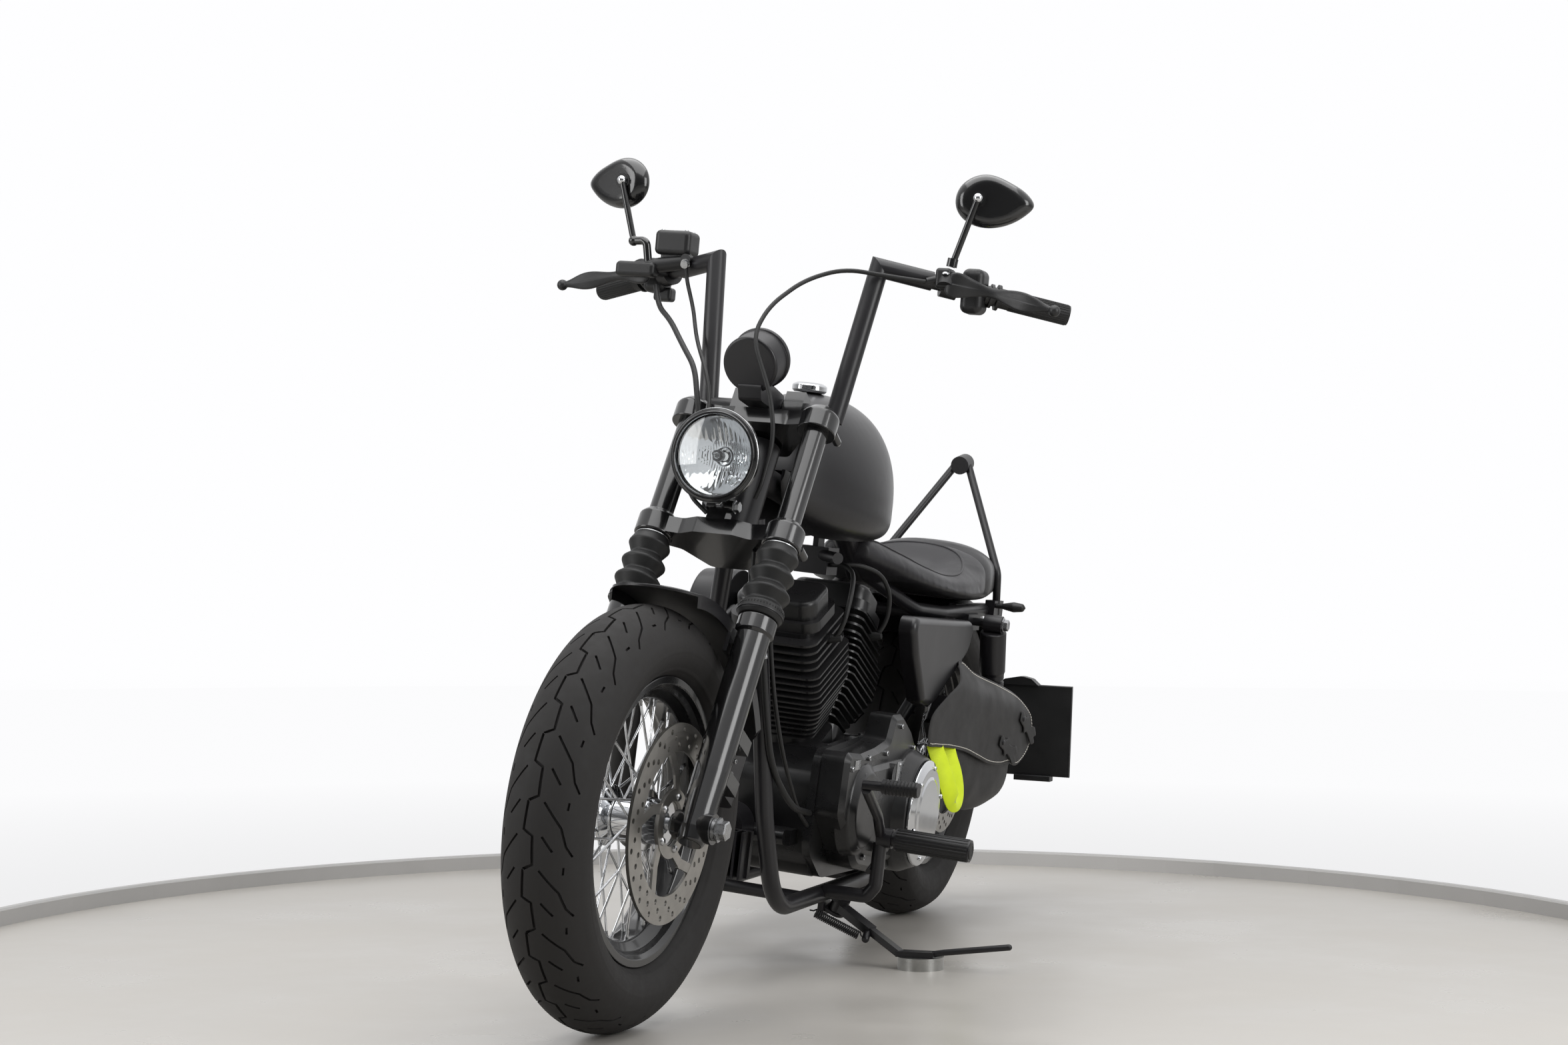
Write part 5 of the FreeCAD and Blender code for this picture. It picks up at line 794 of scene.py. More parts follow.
def cutAway(mesh, cutter):
    # One boolean on plain meshes, with nothing left behind
    whole = bpy.data.objects.new("whole", mesh)
    tool = bpy.data.objects.new("tool", cutter)
    for item in (whole, tool):
        bpy.context.scene.collection.objects.link(item)
    knife = whole.modifiers.new("cut", "BOOLEAN")
    knife.operation, knife.object, knife.solver = "DIFFERENCE", tool, "MANIFOLD"
    made = evaluated(whole)
    for item in (whole, tool):
        bpy.data.objects.remove(item)
    return made


def centreGrooves(tyre, pitch):
    # The stepped centre line, in short lengths that overlap a little
    for index in range(tyre["pitches"]):
        at = pitch * index
        chain = [(at + pitch * share, across) for share, across in ((0, -5.5), (0.42, -7.5), (0.5, 6.5), (0.92, 8.5))]
        yield chain + [(pitch * (index + 1) - 0.01, -5.5)]


def sideGrooves(tyre, pitch):
    # A bent bolt, a sipe and the bolt's short tail on each side, half a pitch apart
    reach = tyre["half"] / 66.0
    for index in range(tyre["pitches"]):
        for side in (-1, 1):
            at = pitch * (index + (0.5 if side < 0 else 0.0))
            for route in (((0, 18), (0.36, 46), (0.64, 55), (0.8, 66)), ((0.5, 20), (0.72, 36)),
                          ((0.08, 52), (-0.04, 53))):
                yield [(at + pitch * share, across * reach * side) for share, across in route]


def makeTyre(key):
    tyre = tyres[key]
    bm = bmesh.new()
    lathe(bm, tyreProfile(tyre), tyres["steps"])
    whole = toMesh(bm)
    pitch = 2 * math.pi * tyre["radius"] / tyre["pitches"]
    width = tyres["grooveWidth"]
    for grooves, wide in ((centreGrooves, width * 1.25), (sideGrooves, width)):
        bm = bmesh.new()
        for route in grooves(tyre, pitch):
            grooveBody(bm, tyre, route, wide)
        whole = cutAway(whole, toMesh(bm))
    place = Matrix.Translation(tyre["axle"])
    piece = finishPiece(key + "TyreTreaded", whole, tyre["body"], "tyre_rubber", tyreRubber, place, 28.0,
                        [tyre["node"]])
    print(piece.name, len(piece.data.polygons), "faces")


makeTyre("front")
makeTyre("rear")


# Seat: a foam pad under tight vinyl, dished for the rider, with a welt round the dish

seatPad = {
    # y, half width, lowest, widest and highest z of each rib
    "ribs": [(152, 42, 730, 748, 768), (200, 74, 707, 730, 762), (290, 118, 685, 706, 742), (400, 146, 671, 692, 724),
             (500, 156, 663, 690, 722), (575, 155, 659, 694, 736), (628, 150, 659, 700, 752), (668, 140, 660, 704, 758),
             (700, 122, 664, 702, 742), (716, 92, 674, 700, 722)],
    "voxel": 0.006, "pressure": 4.0, "frames": 18, "swell": 0.007, "shrink": 0.975,
    "dish": [(176, 22), (240, 66), (330, 100), (430, 118), (530, 119), (600, 96), (640, 50)],
    "dishDepth": 13.0, "weltRadius": 2.2,
}


def ribLoop(rib, count, crown=2.5, flatness=5.0, scale=1.0):
    y, half, bottom, widest, top = rib
    loop = []
    for step in range(count):
        angle = 2 * math.pi * step / count
        c, s = math.cos(angle), math.sin(angle)
        power = crown if s >= 0 else flatness
        height = (top - widest) if s >= 0 else (widest - bottom)
        loop.append(Vector((half * scale * math.copysign(abs(c) ** (2 / power), c), y,
                            widest + height * scale * math.copysign(abs(s) ** (2 / power), s))))
    return loop


def loftRibs(ribs, count, perRun, scale=1.0):
    # Ribs between the given ones follow a smooth line through them
    loops = [ribLoop(rib, count, scale=scale) for rib in ribs]
    lines = [smoothPath([loop[k] for loop in loops], perRun) for k in range(count)]
    bm = bmesh.new()
    rings = [[bm.verts.new(line[row]) for line in lines] for row in range(len(lines[0]))]
    bridge(bm, rings)
    for ring in (rings[0], rings[-1]):
        centre = bm.verts.new(sum((v.co for v in ring), Vector()) / count)
        for k in range(count):
            bm.faces.new((ring[k], ring[(k + 1) % count], centre))
    return toMesh(bm)


def inflate(mesh, look):
    # Cloth pressure fills the pad; every point keeps within a short way of where it was
    pad = bpy.data.objects.new("padCloth", mesh)
    bpy.context.scene.collection.objects.link(pad)
    remesh = pad.modifiers.new("even", "REMESH")
    remesh.mode = "VOXEL"
    remesh.voxel_size = look["voxel"]
    even = evaluated(pad)
    pad.modifiers.remove(remesh)
    pad.data = even
    start = [v.co.copy() for v in even.vertices]
    held = pad.vertex_groups.new(name="held")
    low = min(v.co.z for v in even.vertices)
    held.add([v.index for v in even.vertices if v.co.z < low + 0.03 and v.normal.z < -0.5], 1.0, "REPLACE")
    cloth = pad.modifiers.new("fill", "CLOTH")
    cloth.settings.use_pressure = True
    cloth.settings.uniform_pressure_force = look["pressure"]
    cloth.settings.effector_weights.gravity = 0.0
    cloth.settings.vertex_group_mass = "held"
    cloth.point_cache.frame_start, cloth.point_cache.frame_end = 1, look["frames"]
    scene = bpy.context.scene
    for step in range(1, look["frames"] + 1):
        scene.frame_set(step)
    full = bpy.data.meshes.new_from_object(pad.evaluated_get(bpy.context.evaluated_depsgraph_get()))
    pad.modifiers.remove(cloth)
    scene.frame_set(1)
    for index, vert in enumerate(full.vertices):
        move = vert.co - start[index]
        if move.length > look["swell"]:
            vert.co = start[index] + move * (look["swell"] / move.length)
    pad.data = full
    done = pad.data
    bpy.data.objects.remove(pad)
    return done


def dishHalfWidth(y):
    # Half width of the rider's dish at a place along the seat, 0 outside it
    line = smoothPath([(0, 172, 0)] + [(x, at, 0) for at, x in seatPad["dish"]] + [(0, 650, 0)], 8)
    for a, b in zip(line, line[1:]):
        if a.y <= y <= b.y and b.y > a.y:
            return a.x + (b.x - a.x) * (y - a.y) / (b.y - a.y)
    return 0.0


def makeSeat():
    mesh = loftRibs(seatPad["ribs"], 48, 5, seatPad["shrink"])
    mesh.transform(Matrix.Scale(0.001, 4))
    mesh = inflate(mesh, seatPad)
    mesh.transform(Matrix.Scale(1000, 4))
    widths = {y: dishHalfWidth(y) for y in range(150, 720)}
    for vert in mesh.vertices:
        reach = widths.get(round(vert.co.y), 0.0)
        if reach > 0 and vert.co.z > 690:
            share = min(1.0, max(0.0, 1.0 - abs(vert.co.x) / reach))
            ends = min(1.0, (vert.co.y - 172) / 90, max(0.0, 650 - vert.co.y) / 70)
            dip = min(1.0, share * 2.2) * max(0.0, ends)
            vert.co.z -= seatPad["dishDepth"] * dip * dip * (3 - 2 * dip)
    pad = bpy.data.objects.new("pad", mesh)
    bpy.context.scene.collection.objects.link(pad)
    for kind, settings in (("SMOOTH", {"factor": 0.5, "iterations": 6}),
                           ("SUBSURF", {"levels": 1, "render_levels": 1})):
        step = pad.modifiers.new(kind, kind)
        for key, value in settings.items():
            setattr(step, key, value)
    done = evaluated(pad)
    bpy.data.objects.remove(pad)
    skin = done.copy()
    cushion = finishPiece("seatCushion", done, "root", "seat_leather", seatLeather, None, 60.0, ["seat"])
    return skin


def dropOnto(mesh):
    # Finds the height of a mesh's top under or over a point
    bm = bmesh.new()
    bm.from_mesh(mesh)
    tree = BVHTree.FromBMesh(bm)
    bm.free()

    def height(x, y, lift=0.0):
        found = tree.ray_cast(Vector((x, y, 1200)), Vector((0, 0, -1)))
        return Vector((x, y, found[0].z + lift)) if found[0] else Vector((x, y, 0))
    return height


seatTop = dropOnto(makeSeat())


def makeSeatTrim():
    # The welt round the dish
    right = [(x, y) for y, x in seatPad["dish"]]
    loop = smoothPath([(0, 170, 0)] + [(x, y, 0) for x, y in right] + [(0, 652, 0)]
                      + [(-x, y, 0) for x, y in reversed(right)], 8, closed=True)
    bm = bmesh.new()
    sweep(bm, [seatTop(p.x, p.y, 0.4) for p in loop], roundSection(seatPad["weltRadius"], 8), closed=True)
    finishPiece("seatWelt", toMesh(bm), "root", "seat_leather", seatLeather, None, 60.0)


makeSeatTrim()


def makeFenderCrown():
    # The painted hump behind the seat, over the rear wheel
    ribs = [(640, 126, 656, 690, 720), (690, 136, 655, 704, 757), (730, 133, 658, 705, 771), (800, 121, 664, 706, 765),
            (880, 105, 668, 704, 752), (935, 80, 675, 700, 732), (950, 62, 682, 700, 718)]
    finishPiece("fenderCrown", loftRibs(ribs, 56, 7), "root", "tank_paint", tankPaint, None, 60.0)


makeFenderCrown()
print("seat dressed")


# Saddlebag: a pouch under a wide hand-stitched flap, two riveted straps, a loop of safety webbing

bag = {
    "flapEdge": [(258, 398), (262, 448), (330, 484), (400, 512), (455, 549), (507, 529), (560, 517), (640, 502),
                 (727, 483), (772, 464), (806, 441), (820, 416), (818, 392), (800, 366), (770, 346), (735, 336),
                 (694, 343), (644, 341), (583, 347), (515, 362), (449, 376), (370, 386), (300, 391)],
    "flapThickness": 3.6, "stitchInset": 6.0, "stitchPitch": 7.5, "stitchedEdge": (40, 232),
    "pouchEdge": [(330, 430), (450, 440), (620, 440), (780, 432), (798, 380), (800, 310), (764, 268), (690, 252),
                  (610, 246), (548, 254), (500, 268), (440, 316), (372, 372), (338, 398)],
}


def flapX(y, z):
    # The flap lies over the pouch's front and slopes in over its top
    front = 162 + (y - 240) * 0.11167 + 3.5
    slope = [(600, 128), (554, 142), (548, 156), (506, 186), (468, 212), (430, 236), (200, 250)]
    for (z0, x0), (z1, x1) in zip(slope, slope[1:]):
        if z1 <= z <= z0:
            top = x0 + (x1 - x0) * (z0 - z) / (z0 - z1)
            break
    blend = 9.0
    low = min(front, top)
    return low - blend * math.exp(-abs(front - top) / blend) * 0.5


def sheetPiece(edge, surface, thickness, rings=14, perRun=5, wave=None):
    # A sheet of leather cut to an outline of (y, z), lying on a surface x(y, z)
    line = smoothPath([(0, y, z) for y, z in edge], perRun, closed=True)
    centre = sum(line, Vector()) / len(line)
    bm = bmesh.new()
    layers = []
    for back in (0.0, thickness):
        grid = []
        for ring in range(1, rings + 1):
            share = 1 - (1 - ring / rings) ** 1.5
            row = []
            for point in line:
                at = centre + (point - centre) * share
                lift = wave(at.y, at.z, share) if wave else 0.0
                rolled = 0.35 * thickness * max(0.0, (share - 0.985) / 0.015)
                x = surface(at.y, at.z) + lift - (back - rolled if back else rolled)
                row.append(bm.verts.new((x, at.y, at.z)))
            grid.append(row)
        middle = bm.verts.new((surface(centre.y, centre.z) + (wave(centre.y, centre.z, 0) if wave else 0) - back,
                               centre.y, centre.z))
        count = len(line)
        for k in range(count):
            bm.faces.new((middle, grid[0][k], grid[0][(k + 1) % count]))
        bridge(bm, grid)
        layers.append(grid[-1])
    for k in range(len(line)):
        bm.faces.new((layers[0][k], layers[0][(k + 1) % len(line)], layers[1][(k + 1) % len(line)], layers[1][k]))
    return toMesh(bm)


def flapWave(y, z, share):
    # Slight hollows and a curl outwards at the free rear corner
    curl = max(0.0, (y - 700) / 120) ** 2 * 5.0
    return 2.4 * noise.noise(Vector((y / 130, z / 90, 3.1))) + curl * max(0.0, (430 - z) / 90)


def flapPoint(y, z, lift=0.0):
    return Vector((flapX(y, z) + flapWave(y, z, 1) + lift, y, z))


stitchPart = headMesh([(0.55, -0.6), (0.95, 0.0), (0.75, 0.75)], 0, 0, 6)
for vert in stitchPart.vertices:
    vert.co.x *= 3.1
stitchThread = elastomer("waxedThread", {"dark": "#cfcac0", "light": "#e4e0d8", "cloud": 4, "roughness": 0.6,
                                         "grain": 0.5, "bump": 0.2})


def stitchLine(line, pitch, facingOf):
    # Even stitches along a line of points
    spots, travelled, target = [], 0.0, pitch / 2
    for a, b in zip(line, line[1:]):
        run = (b - a).length
        while travelled + run >= target:
            point = a + (b - a) * ((target - travelled) / run)
            spots.append((point, facingOf(point), (b - a).normalized(), 1.0))
            target += pitch
        travelled += run
    return spots


def makeBag():
    finishPiece("bagFlap", sheetPiece(bag["flapEdge"], flapX, bag["flapThickness"], 16, 6, flapWave),
                *bagSkin, None, 50.0, ["saddlebag"])
    # Pouch: full in the middle, its edges drawn in to the back
    line = smoothPath([(0, y, z) for y, z in bag["pouchEdge"]], 5, closed=True)
    centre = Vector((0, 590, 352))
    bm = bmesh.new()
    grids = []
    rings = 18
    for ring in range(1, rings + 1):
        share = math.sin(ring / rings * math.pi / 2)
        row = []
        for point in line:
            at = centre + (point - centre) * share
            front = 156 + (at.y - 240) * 0.1102 - 2
            depth = max(0.0, 1 - share ** 5) ** 0.42
            sag = 2.2 * noise.noise(Vector((at.y / 90, at.z / 70, 8.0)))
            row.append(bm.verts.new((148 + (front - 148 + sag) * depth, at.y, at.z)))
        grids.append(row)
    middle = bm.verts.new((192, centre.y, centre.z))
    back = bm.verts.new((147.5, centre.y, centre.z))
    count = len(line)
    for k in range(count):
        bm.faces.new((middle, grids[0][k], grids[0][(k + 1) % count]))
        bm.faces.new((back, grids[-1][(k + 1) % count], grids[-1][k]))
    bridge(bm, grids)
    finishPiece("bagPouch", toMesh(bm), *bagSkin, None, 50.0)
    # Stitches, a little in from the flap's edge, from its top corner round to its front
    edge = smoothPath([(0, y, z) for y, z in bag["flapEdge"]], 10, closed=True)
    middleOfFlap = sum(edge, Vector()) / len(edge)
    inner = []
    for index in range(*bag["stitchedEdge"]):
        point = edge[index % len(edge)]
        ahead = (edge[(index + 1) % len(edge)] - edge[(index - 1) % len(edge)]).normalized()
        inward = Vector((0, ahead.z, -ahead.y))
        if inward.dot(middleOfFlap - point) < 0:
            inward = -inward
        at = point + inward * bag["stitchInset"]
        inner.append(flapPoint(at.y, at.z, 0.3))
    stitches = stitchLine(inner, bag["stitchPitch"], lambda p: Vector((1, -0.11, 0.1 if p.z < 440 else 0.6)))
    setRepeats("bagStitches", stitchPart, stitches, "root", "bag_leather", stitchThread)


def makeStraps():
    # Each strap end is riveted to the flap and cut to an arrow that hangs past its edge
    strap = [(-13, -10), (-9, -14), (9, -14), (13, -10), (13, 8), (22, 16), (12, 24), (16, 42), (22, 52), (10, 62),
             (0, 56), (-10, 62), (-22, 52), (-16, 42), (-12, 24), (-22, 16), (-13, 8)]
    spots = []
    for index, (rivet, tip) in enumerate((((748, 431), (812, 392)), ((644, 387), (722, 352)))):
        way = Vector((0, tip[0] - rivet[0], tip[1] - rivet[1])).normalized()
        side = Vector((0, -way.z, way.y))
        outline = [Vector((0, *rivet)) + side * a * 0.9 + way * (b + 4) * 1.25 for a, b in strap]

        def lieOn(y, z):
            past = (Vector((0, y, z)) - Vector((0, *rivet))).dot(way)
            return flapX(y, z) + flapWave(y, z, 1) + 4.4 + 0.0012 * max(0.0, past - 30) ** 2
        finishPiece("bagStrap%d" % (index + 1), sheetPiece([(p.y, p.z) for p in outline], lieOn, 3.0, 5, 3),
                    *bagSkin, None, 50.0)
        spots.append((Vector((lieOn(*rivet) - 0.4, rivet[0], rivet[1])), Vector((1, -0.11, 0.05)),
                      Vector((0, 1, 0)), 1.3))
    setRepeats("bagRivets", domeRivet, spots, "root", "bag_leather", satinBlack)


webbing = {
    "width": 36.0, "thickness": 2.2, "bevel": 0.6, "curl": 1.6, "lean": -0.36,
    "foot": (184, 284, 0), "way": (40, 110, 0),
    # Along the bag, height and distance outwards of each point
    "route": [(24, 393, -31), (25, 380, -25), (27, 358, -12), (31, 330, 1), (41, 302, 8), (55, 289, 7),
              (69, 297, 0), (78, 318, -9), (83, 345, -22), (86, 368, -37), (87, 389, -48)],
}


def hiVisWebbing():
    # Polyester safety webbing: fluorescent yellow-green, twill ribs about 1.5 mm apart, a soft sheen
    material, tree, shader, coords = startMaterial("hiVisWebbing", {"Roughness": 0.62, "Sheen Weight": 0.25,
                                                                    "Sheen Roughness": 0.4})
    turned = addNode(tree, "ShaderNodeMapping", {"Rotation": (0.0, 0.6, 0.3)}, {"Vector": coords})
    ribs = addNode(tree, "ShaderNodeTexWave", {"Scale": 105.0, "Distortion": 0.6, "bands_direction": "Z"},
                   {"Vector": turned.outputs[0]})
    fold = addNode(tree, "ShaderNodeTexNoise", {"Scale": 28.0, "Detail": 2.0}, {"Vector": coords})
    tone = addNode(tree, "ShaderNodeMix", {"data_type": "RGBA", 6: shade("#bfd400"), 7: shade("#e2f516")},
                   {0: fold.outputs["Fac"]})
    tree.links.new(tone.outputs[2], shader.inputs["Base Color"])
    setBump(tree, shader, 0.25, 0.0004, ribs.outputs["Fac"])
    return material


hiVis = hiVisWebbing()


def makeWebbing():
    # One strap folded over on itself: it comes out under the flap, turns at the bottom and goes back up behind
    way = Vector(webbing["way"]).normalized()
    outward = Vector((way.y, -way.x, 0))
    path = smoothPath([Vector(webbing["foot"]) + way * t + Vector((0, 0, z)) + outward * out
                       for t, z, out in webbing["route"]], 8)
    face = (outward + way * webbing["lean"] + Vector((0, 0, 0.1))).normalized()
    half, thick, bevel = webbing["width"] / 2, webbing["thickness"] / 2, webbing["bevel"]
    bm = bmesh.new()
    rings = []
    for index, point in enumerate(path):
        share = index / (len(path) - 1)
        before, after = path[max(index - 1, 0)], path[min(index + 1, len(path) - 1)]
        run = (after - before).normalized()
        side = run.cross(face).normalized()
        deep = side.cross(run).normalized()
        curl = webbing["curl"] * math.sin(math.pi * share)
        rings.append([bm.verts.new(point + side * a + deep * b) for a, b in (
            (-half, -thick + bevel - curl), (-half + bevel, -thick - curl), (0, -thick + curl * 0.4),
            (half - bevel, -thick - curl), (half, -thick + bevel - curl), (half, thick - bevel - curl),
            (half - bevel, thick - curl), (0, thick + curl * 0.4), (-half + bevel, thick - curl),
            (-half, thick - bevel - curl))])
    bridge(bm, rings)
    capEnds(bm, rings)
    finishPiece("webbingLoop", toMesh(bm), "root", "webbing", hiVis, None, 50.0, ["bag_loop"])


makeBag()
makeStraps()
makeWebbing()
print("saddlebag dressed")


# Front end: lamp, fork fittings, wheel details, dial and mirror glass

def spun(name, profile, point, facing, body, slotName, material, steps=48, closed=True, replaces=()):
    # A turned piece whose own axis stands on a point and looks along a direction
    bm = bmesh.new()
    lathe(bm, profile, steps, aim(point, facing) @ standUp, closed)
    return finishPiece(name, toMesh(bm), body, slotName, material, None, 35.0, replaces)


def onFork(x, b, s):
    return forkFrame @ Vector((x, b, s))


# Each mirror's pivot, the degrees that it is turned in by, and its side
mirrorPlaces = [("Left", onFork(293, -58, 1139), 14, 1), ("Right", onFork(-346, -76, 1136), 16, -1)]


lamp = {"centre": Vector((0, -557, 874)), "bowlEdge": 62.0, "neck": 10.0, "seatDepth": 8.0, "bowlDepth": 34.0,
        "sheet": 1.6, "flute": 8.2, "fluteDepth": 0.9, "rings": 34, "steps": 120}
back = Vector((0, 1, 0))


def makeReflector():
    # A parabolic bowl with upright flutes, broken in the middle by a round seat for the bulb
    rings, steps, neck, edge = (lamp[key] for key in ("rings", "steps", "neck", "bowlEdge"))
    bm = bmesh.new()
    layers = []
    for layer in (0.0, lamp["sheet"]):
        grid = []
        for ring in range(rings + 1):
            radius = neck + (edge - neck) * ring / rings
            row = []
            for step in range(steps):
                angle = 2 * math.pi * step / steps
                x, z = radius * math.cos(angle), radius * math.sin(angle)
                depth = lamp["seatDepth"] + lamp["bowlDepth"] * (1 - (radius / edge) ** 2)
                band = 0.5 if abs(z) < 24 else 1.0
                shareOut = min(1.0, (radius - 16) / 10, (edge - radius) / 3) if radius > 16 else 0.0
                ripple = abs(math.sin(math.pi * x / (lamp["flute"] * band))) * lamp["fluteDepth"] * max(0.0, shareOut)
                row.append(bm.verts.new(lamp["centre"] + Vector((x, depth - ripple + layer, z))))
            grid.append(row)
        bridge(bm, grid)
        layers.append(grid)
    for side in (0, -1):
        for k in range(steps):
            bm.faces.new((layers[0][side][k], layers[0][side][(k + 1) % steps],
                          layers[1][side][(k + 1) % steps], layers[1][side][k]))
    finishPiece("lampReflector", toMesh(bm), "steering", "chrome", chrome, None, 25.0, ["headlight_reflector"])


def makeLamp():
    makeReflector()
    centre, spot = lamp["centre"], lamp["centre"] + Vector((27, 0, -36))
    # Name, profile, place, finish, steps and whether the profile is a closed ring
    for name, profile, where, finish, steps, closed in (
            ("lampBulb", [(9, 0), (10, 4), (13, 6.5), (24, 7.5), (41, 7.5), (41, 0)], centre, forkGlass, 32, False),
            ("lampBulbShield", [(12, 0), (12, 7.5), (14, 9.2), (23, 9.2), (23, 8.2), (15, 8.2), (13.5, 6.5), (13.5, 0)],
             centre, forkBlack, 40, False),
            ("lampShieldRing", [(11.2, 3.6), (11.2, 5.2), (12.3, 5.2), (12.3, 3.6)], centre, forkChrome, 32, True),
            ("lampSeatRing", [(38, 9.5), (36.5, 13.5), (38, 14.5), (40, 14), (42, 9.5)], centre, forkChrome, 48, True),
            ("lampTrimRing", [(-4.6, 65.2), (-5.8, 66.2), (-5.8, 68.2), (-4.6, 69.4), (-2.5, 69.4), (-2.5, 65.2)],
             centre, forkBlack, 96, True),
            ("lampBrightEdge", [(-4.2, 64.4), (-5.2, 64.9), (-4.2, 65.4), (-3.2, 64.9)], centre, forkChrome, 96, True),
            ("lampRimEdge", [(1.0, 73.6), (0.2, 74.3), (1.0, 74.9), (1.8, 74.3)], centre,
             ("steering", "chrome", zincSteel), 96, True),
            ("positionLamp", [(16, 0), (17, 5.2), (19, 7.2), (24, 7.2), (24, 0)], spot, forkGlass, 24, False),
            ("positionLampRing", [(18.5, 6.8), (17.2, 7.8), (18.5, 9.2), (21, 9.2), (21, 6.8)], spot, forkChrome, 32,
             True)):
        spun(name, profile, where, back, *finish, steps, closed)


def makeForkFittings():
    spots = []
    for side in (-1, 1):
        for x, low, high, s in ((133.7, 14, 40, 492), (133.7, 12, 38, 708)):
            spots.append((onFork(side * x, low, s), forkFrame.to_3x3() @ Vector((0, -1, 0)), (0, 0, 1), 1.15))
            spots.append((onFork(side * x, high, s), forkFrame.to_3x3() @ Vector((0, 1, 0)), (0, 0, 1), 1.0))
    for s in (184.5, 112.7):
        spots.append((onFork(102, 101, s), (1, 0, 0), (0, 0, 1), 1.25))
    for s in (150, 128):
        spots.append((onFork(102, 84, s), (1, 0, 0), (0, 0, 1), 0.8))
    setRepeats("forkScrews", socketHead, spots, *forkSteel)
    hexes = [(onFork(22, -20, 538), (1, 0, 0), (0, 0, 1), 1.7), (onFork(-22, -20, 538), (-1, 0, 0), (0, 0, 1), 1.7),
             (onFork(0, -29, 536), forkFrame.to_3x3() @ Vector((0, -1, 0)), (1, 0, 0), 1.2),
             (Vector((147.5, -760, 320)), (1, 0, 0), (0, 0.3, 1), 2.9),
             (Vector((-147.5, -760, 320)), (-1, 0, 0), (0, 0.3, 1), 2.9)]
    setRepeats("forkHexNuts", hexHead, hexes, *forkSteel)
    dash = headMesh([(0.8, -0.5), (0.75, 0.7), (0.5, 1.1)], 0, 0, 6)
    for vert in dash.vertices:
        vert.co.x *= 2.6
    marks = []
    for side in (-1, 1):
        for k in range(44):
            angle = 2 * math.pi * k / 44
            out = forkFrame.to_3x3() @ Vector((math.cos(angle), math.sin(angle), 0))
            marks.append((onFork(side * 110.2 + 36 * math.cos(angle), 36 * math.sin(angle), 368.5), out,
                          forkFrame.to_3x3() @ Vector((0, 0, 1)), 1.0))
    setRepeats("gaiterMarks", dash, marks, *forkRubber)
    for side, tag in ((-1, "Right"), (1, "Left")):
        for s, radius, label in ((361, 36.5, "Lower"), (480, 27.2, "Upper")):
            bm = bmesh.new()
            lathe(bm, [(-1.2, radius), (-0.7, radius + 1.0), (0.7, radius + 1.0), (1.2, radius)], 64,
                  Matrix.Translation((side * 110.2, 0, s)) @ standUp)
            finishPiece("gaiterTie%s%s" % (label, tag), toMesh(bm), "steering", "axle_steel",
                        satinBlack if label == "Lower" else zincSteel, forkFrame)


wheelDetail = {"perSide": 20, "sweep": 36.0, "flange": 33.0, "reach": 184.0, "nippleLength": 15.0}


def makeNipples(name, axle, body):
    # A brass nipple, nickel plated, at the foot of each spoke
    length, flange, reach = (wheelDetail[key] for key in ("nippleLength", "flange", "reach"))
    nipple = headMesh([(2.2, 0), (3.3, 0.6), (3.3, 6.5), (2.7, 7.5), (2.7, length - 1), (2.2, length)], 0, 0, 8)
    spots = []
    for side in (-1, 1):
        for index in range(wheelDetail["perSide"]):
            root = 2 * math.pi * (index + 0.25 * side) / wheelDetail["perSide"]
            way = 1 if index % 2 else -1
            tip = root + way * math.radians(wheelDetail["sweep"])
            inner = Vector((side * (34 + 1.5 * way), flange * math.cos(root), flange * math.sin(root)))
            outer = Vector((side * 9.0, reach * math.cos(tip), reach * math.sin(tip)))
            spots.append((axle + outer, (inner - outer).normalized(), (1, 0, 0), 1.0))
    setRepeats(name, nipple, spots, body, "axle_steel", zincSteel)


def makeWheelDetails():
    makeNipples("frontNipples", Vector((0, -760, 320)), "front_wheel")
    makeNipples("rearNipples", Vector((0, 760, 323)), "rear_wheel")
    spots = []
    for k in range(5):
        angle = 2 * math.pi * k / 5
        spots.append((Vector((74.5, -760 + 40 * math.cos(angle), 320 + 40 * math.sin(angle))),
                      (1, 0, 0), (0, 0, 1), 1.2))
    setRepeats("frontDiscScrews", buttonHead, spots, "front_wheel", "axle_steel", zincSteel)
    for name, y, z, body in (("frontValve", -760, 320, "front_wheel"), ("rearValve", 760, 323, "rear_wheel")):
        spun(name, [(0, 0), (0, 4.2), (6, 4.2), (8, 3.0), (22, 3.0), (24, 4.0), (34, 4.0), (36, 3.0), (36, 0)],
             Vector((0, y + 186 * 0.5, z - 186 * 0.866)), Vector((0.25, -0.5, 0.866)), body,
             "soft_rubber", softRubber, 16, False)


def makeMirrorGlass():
    drop = [(-42, -3), (-30, 27), (5, 43), (48, 31), (80, 10), (87, -3), (78, -17), (46, -38), (12, -45), (-25, -34)]
    for tag, pivot, turn, flip in mirrorPlaces:
        line = smoothPath([(20 + (x - 20) * 0.88, 18.0, z * 0.88) for x, z in drop], 6, closed=True)
        bm = bmesh.new()
        faces = []
        for depth, share in ((18.05, 1.0), (18.9, 0.99), (19.1, 0.9)):
            faces.append([bm.verts.new((20 + (p.x - 20) * share, depth, p.z * share)) for p in line])
        bridge(bm, faces)
        capEnds(bm, faces)
        where = (Matrix.Translation(pivot + Vector((0, 10, 0))) @ Matrix.Scale(flip, 4, (1, 0, 0))
                 @ Matrix.Rotation(math.radians(turn), 4, "Z"))
        finishPiece("mirrorGlass" + tag, toMesh(bm), "steering", "chrome", mirrorSilver, where, 30.0)


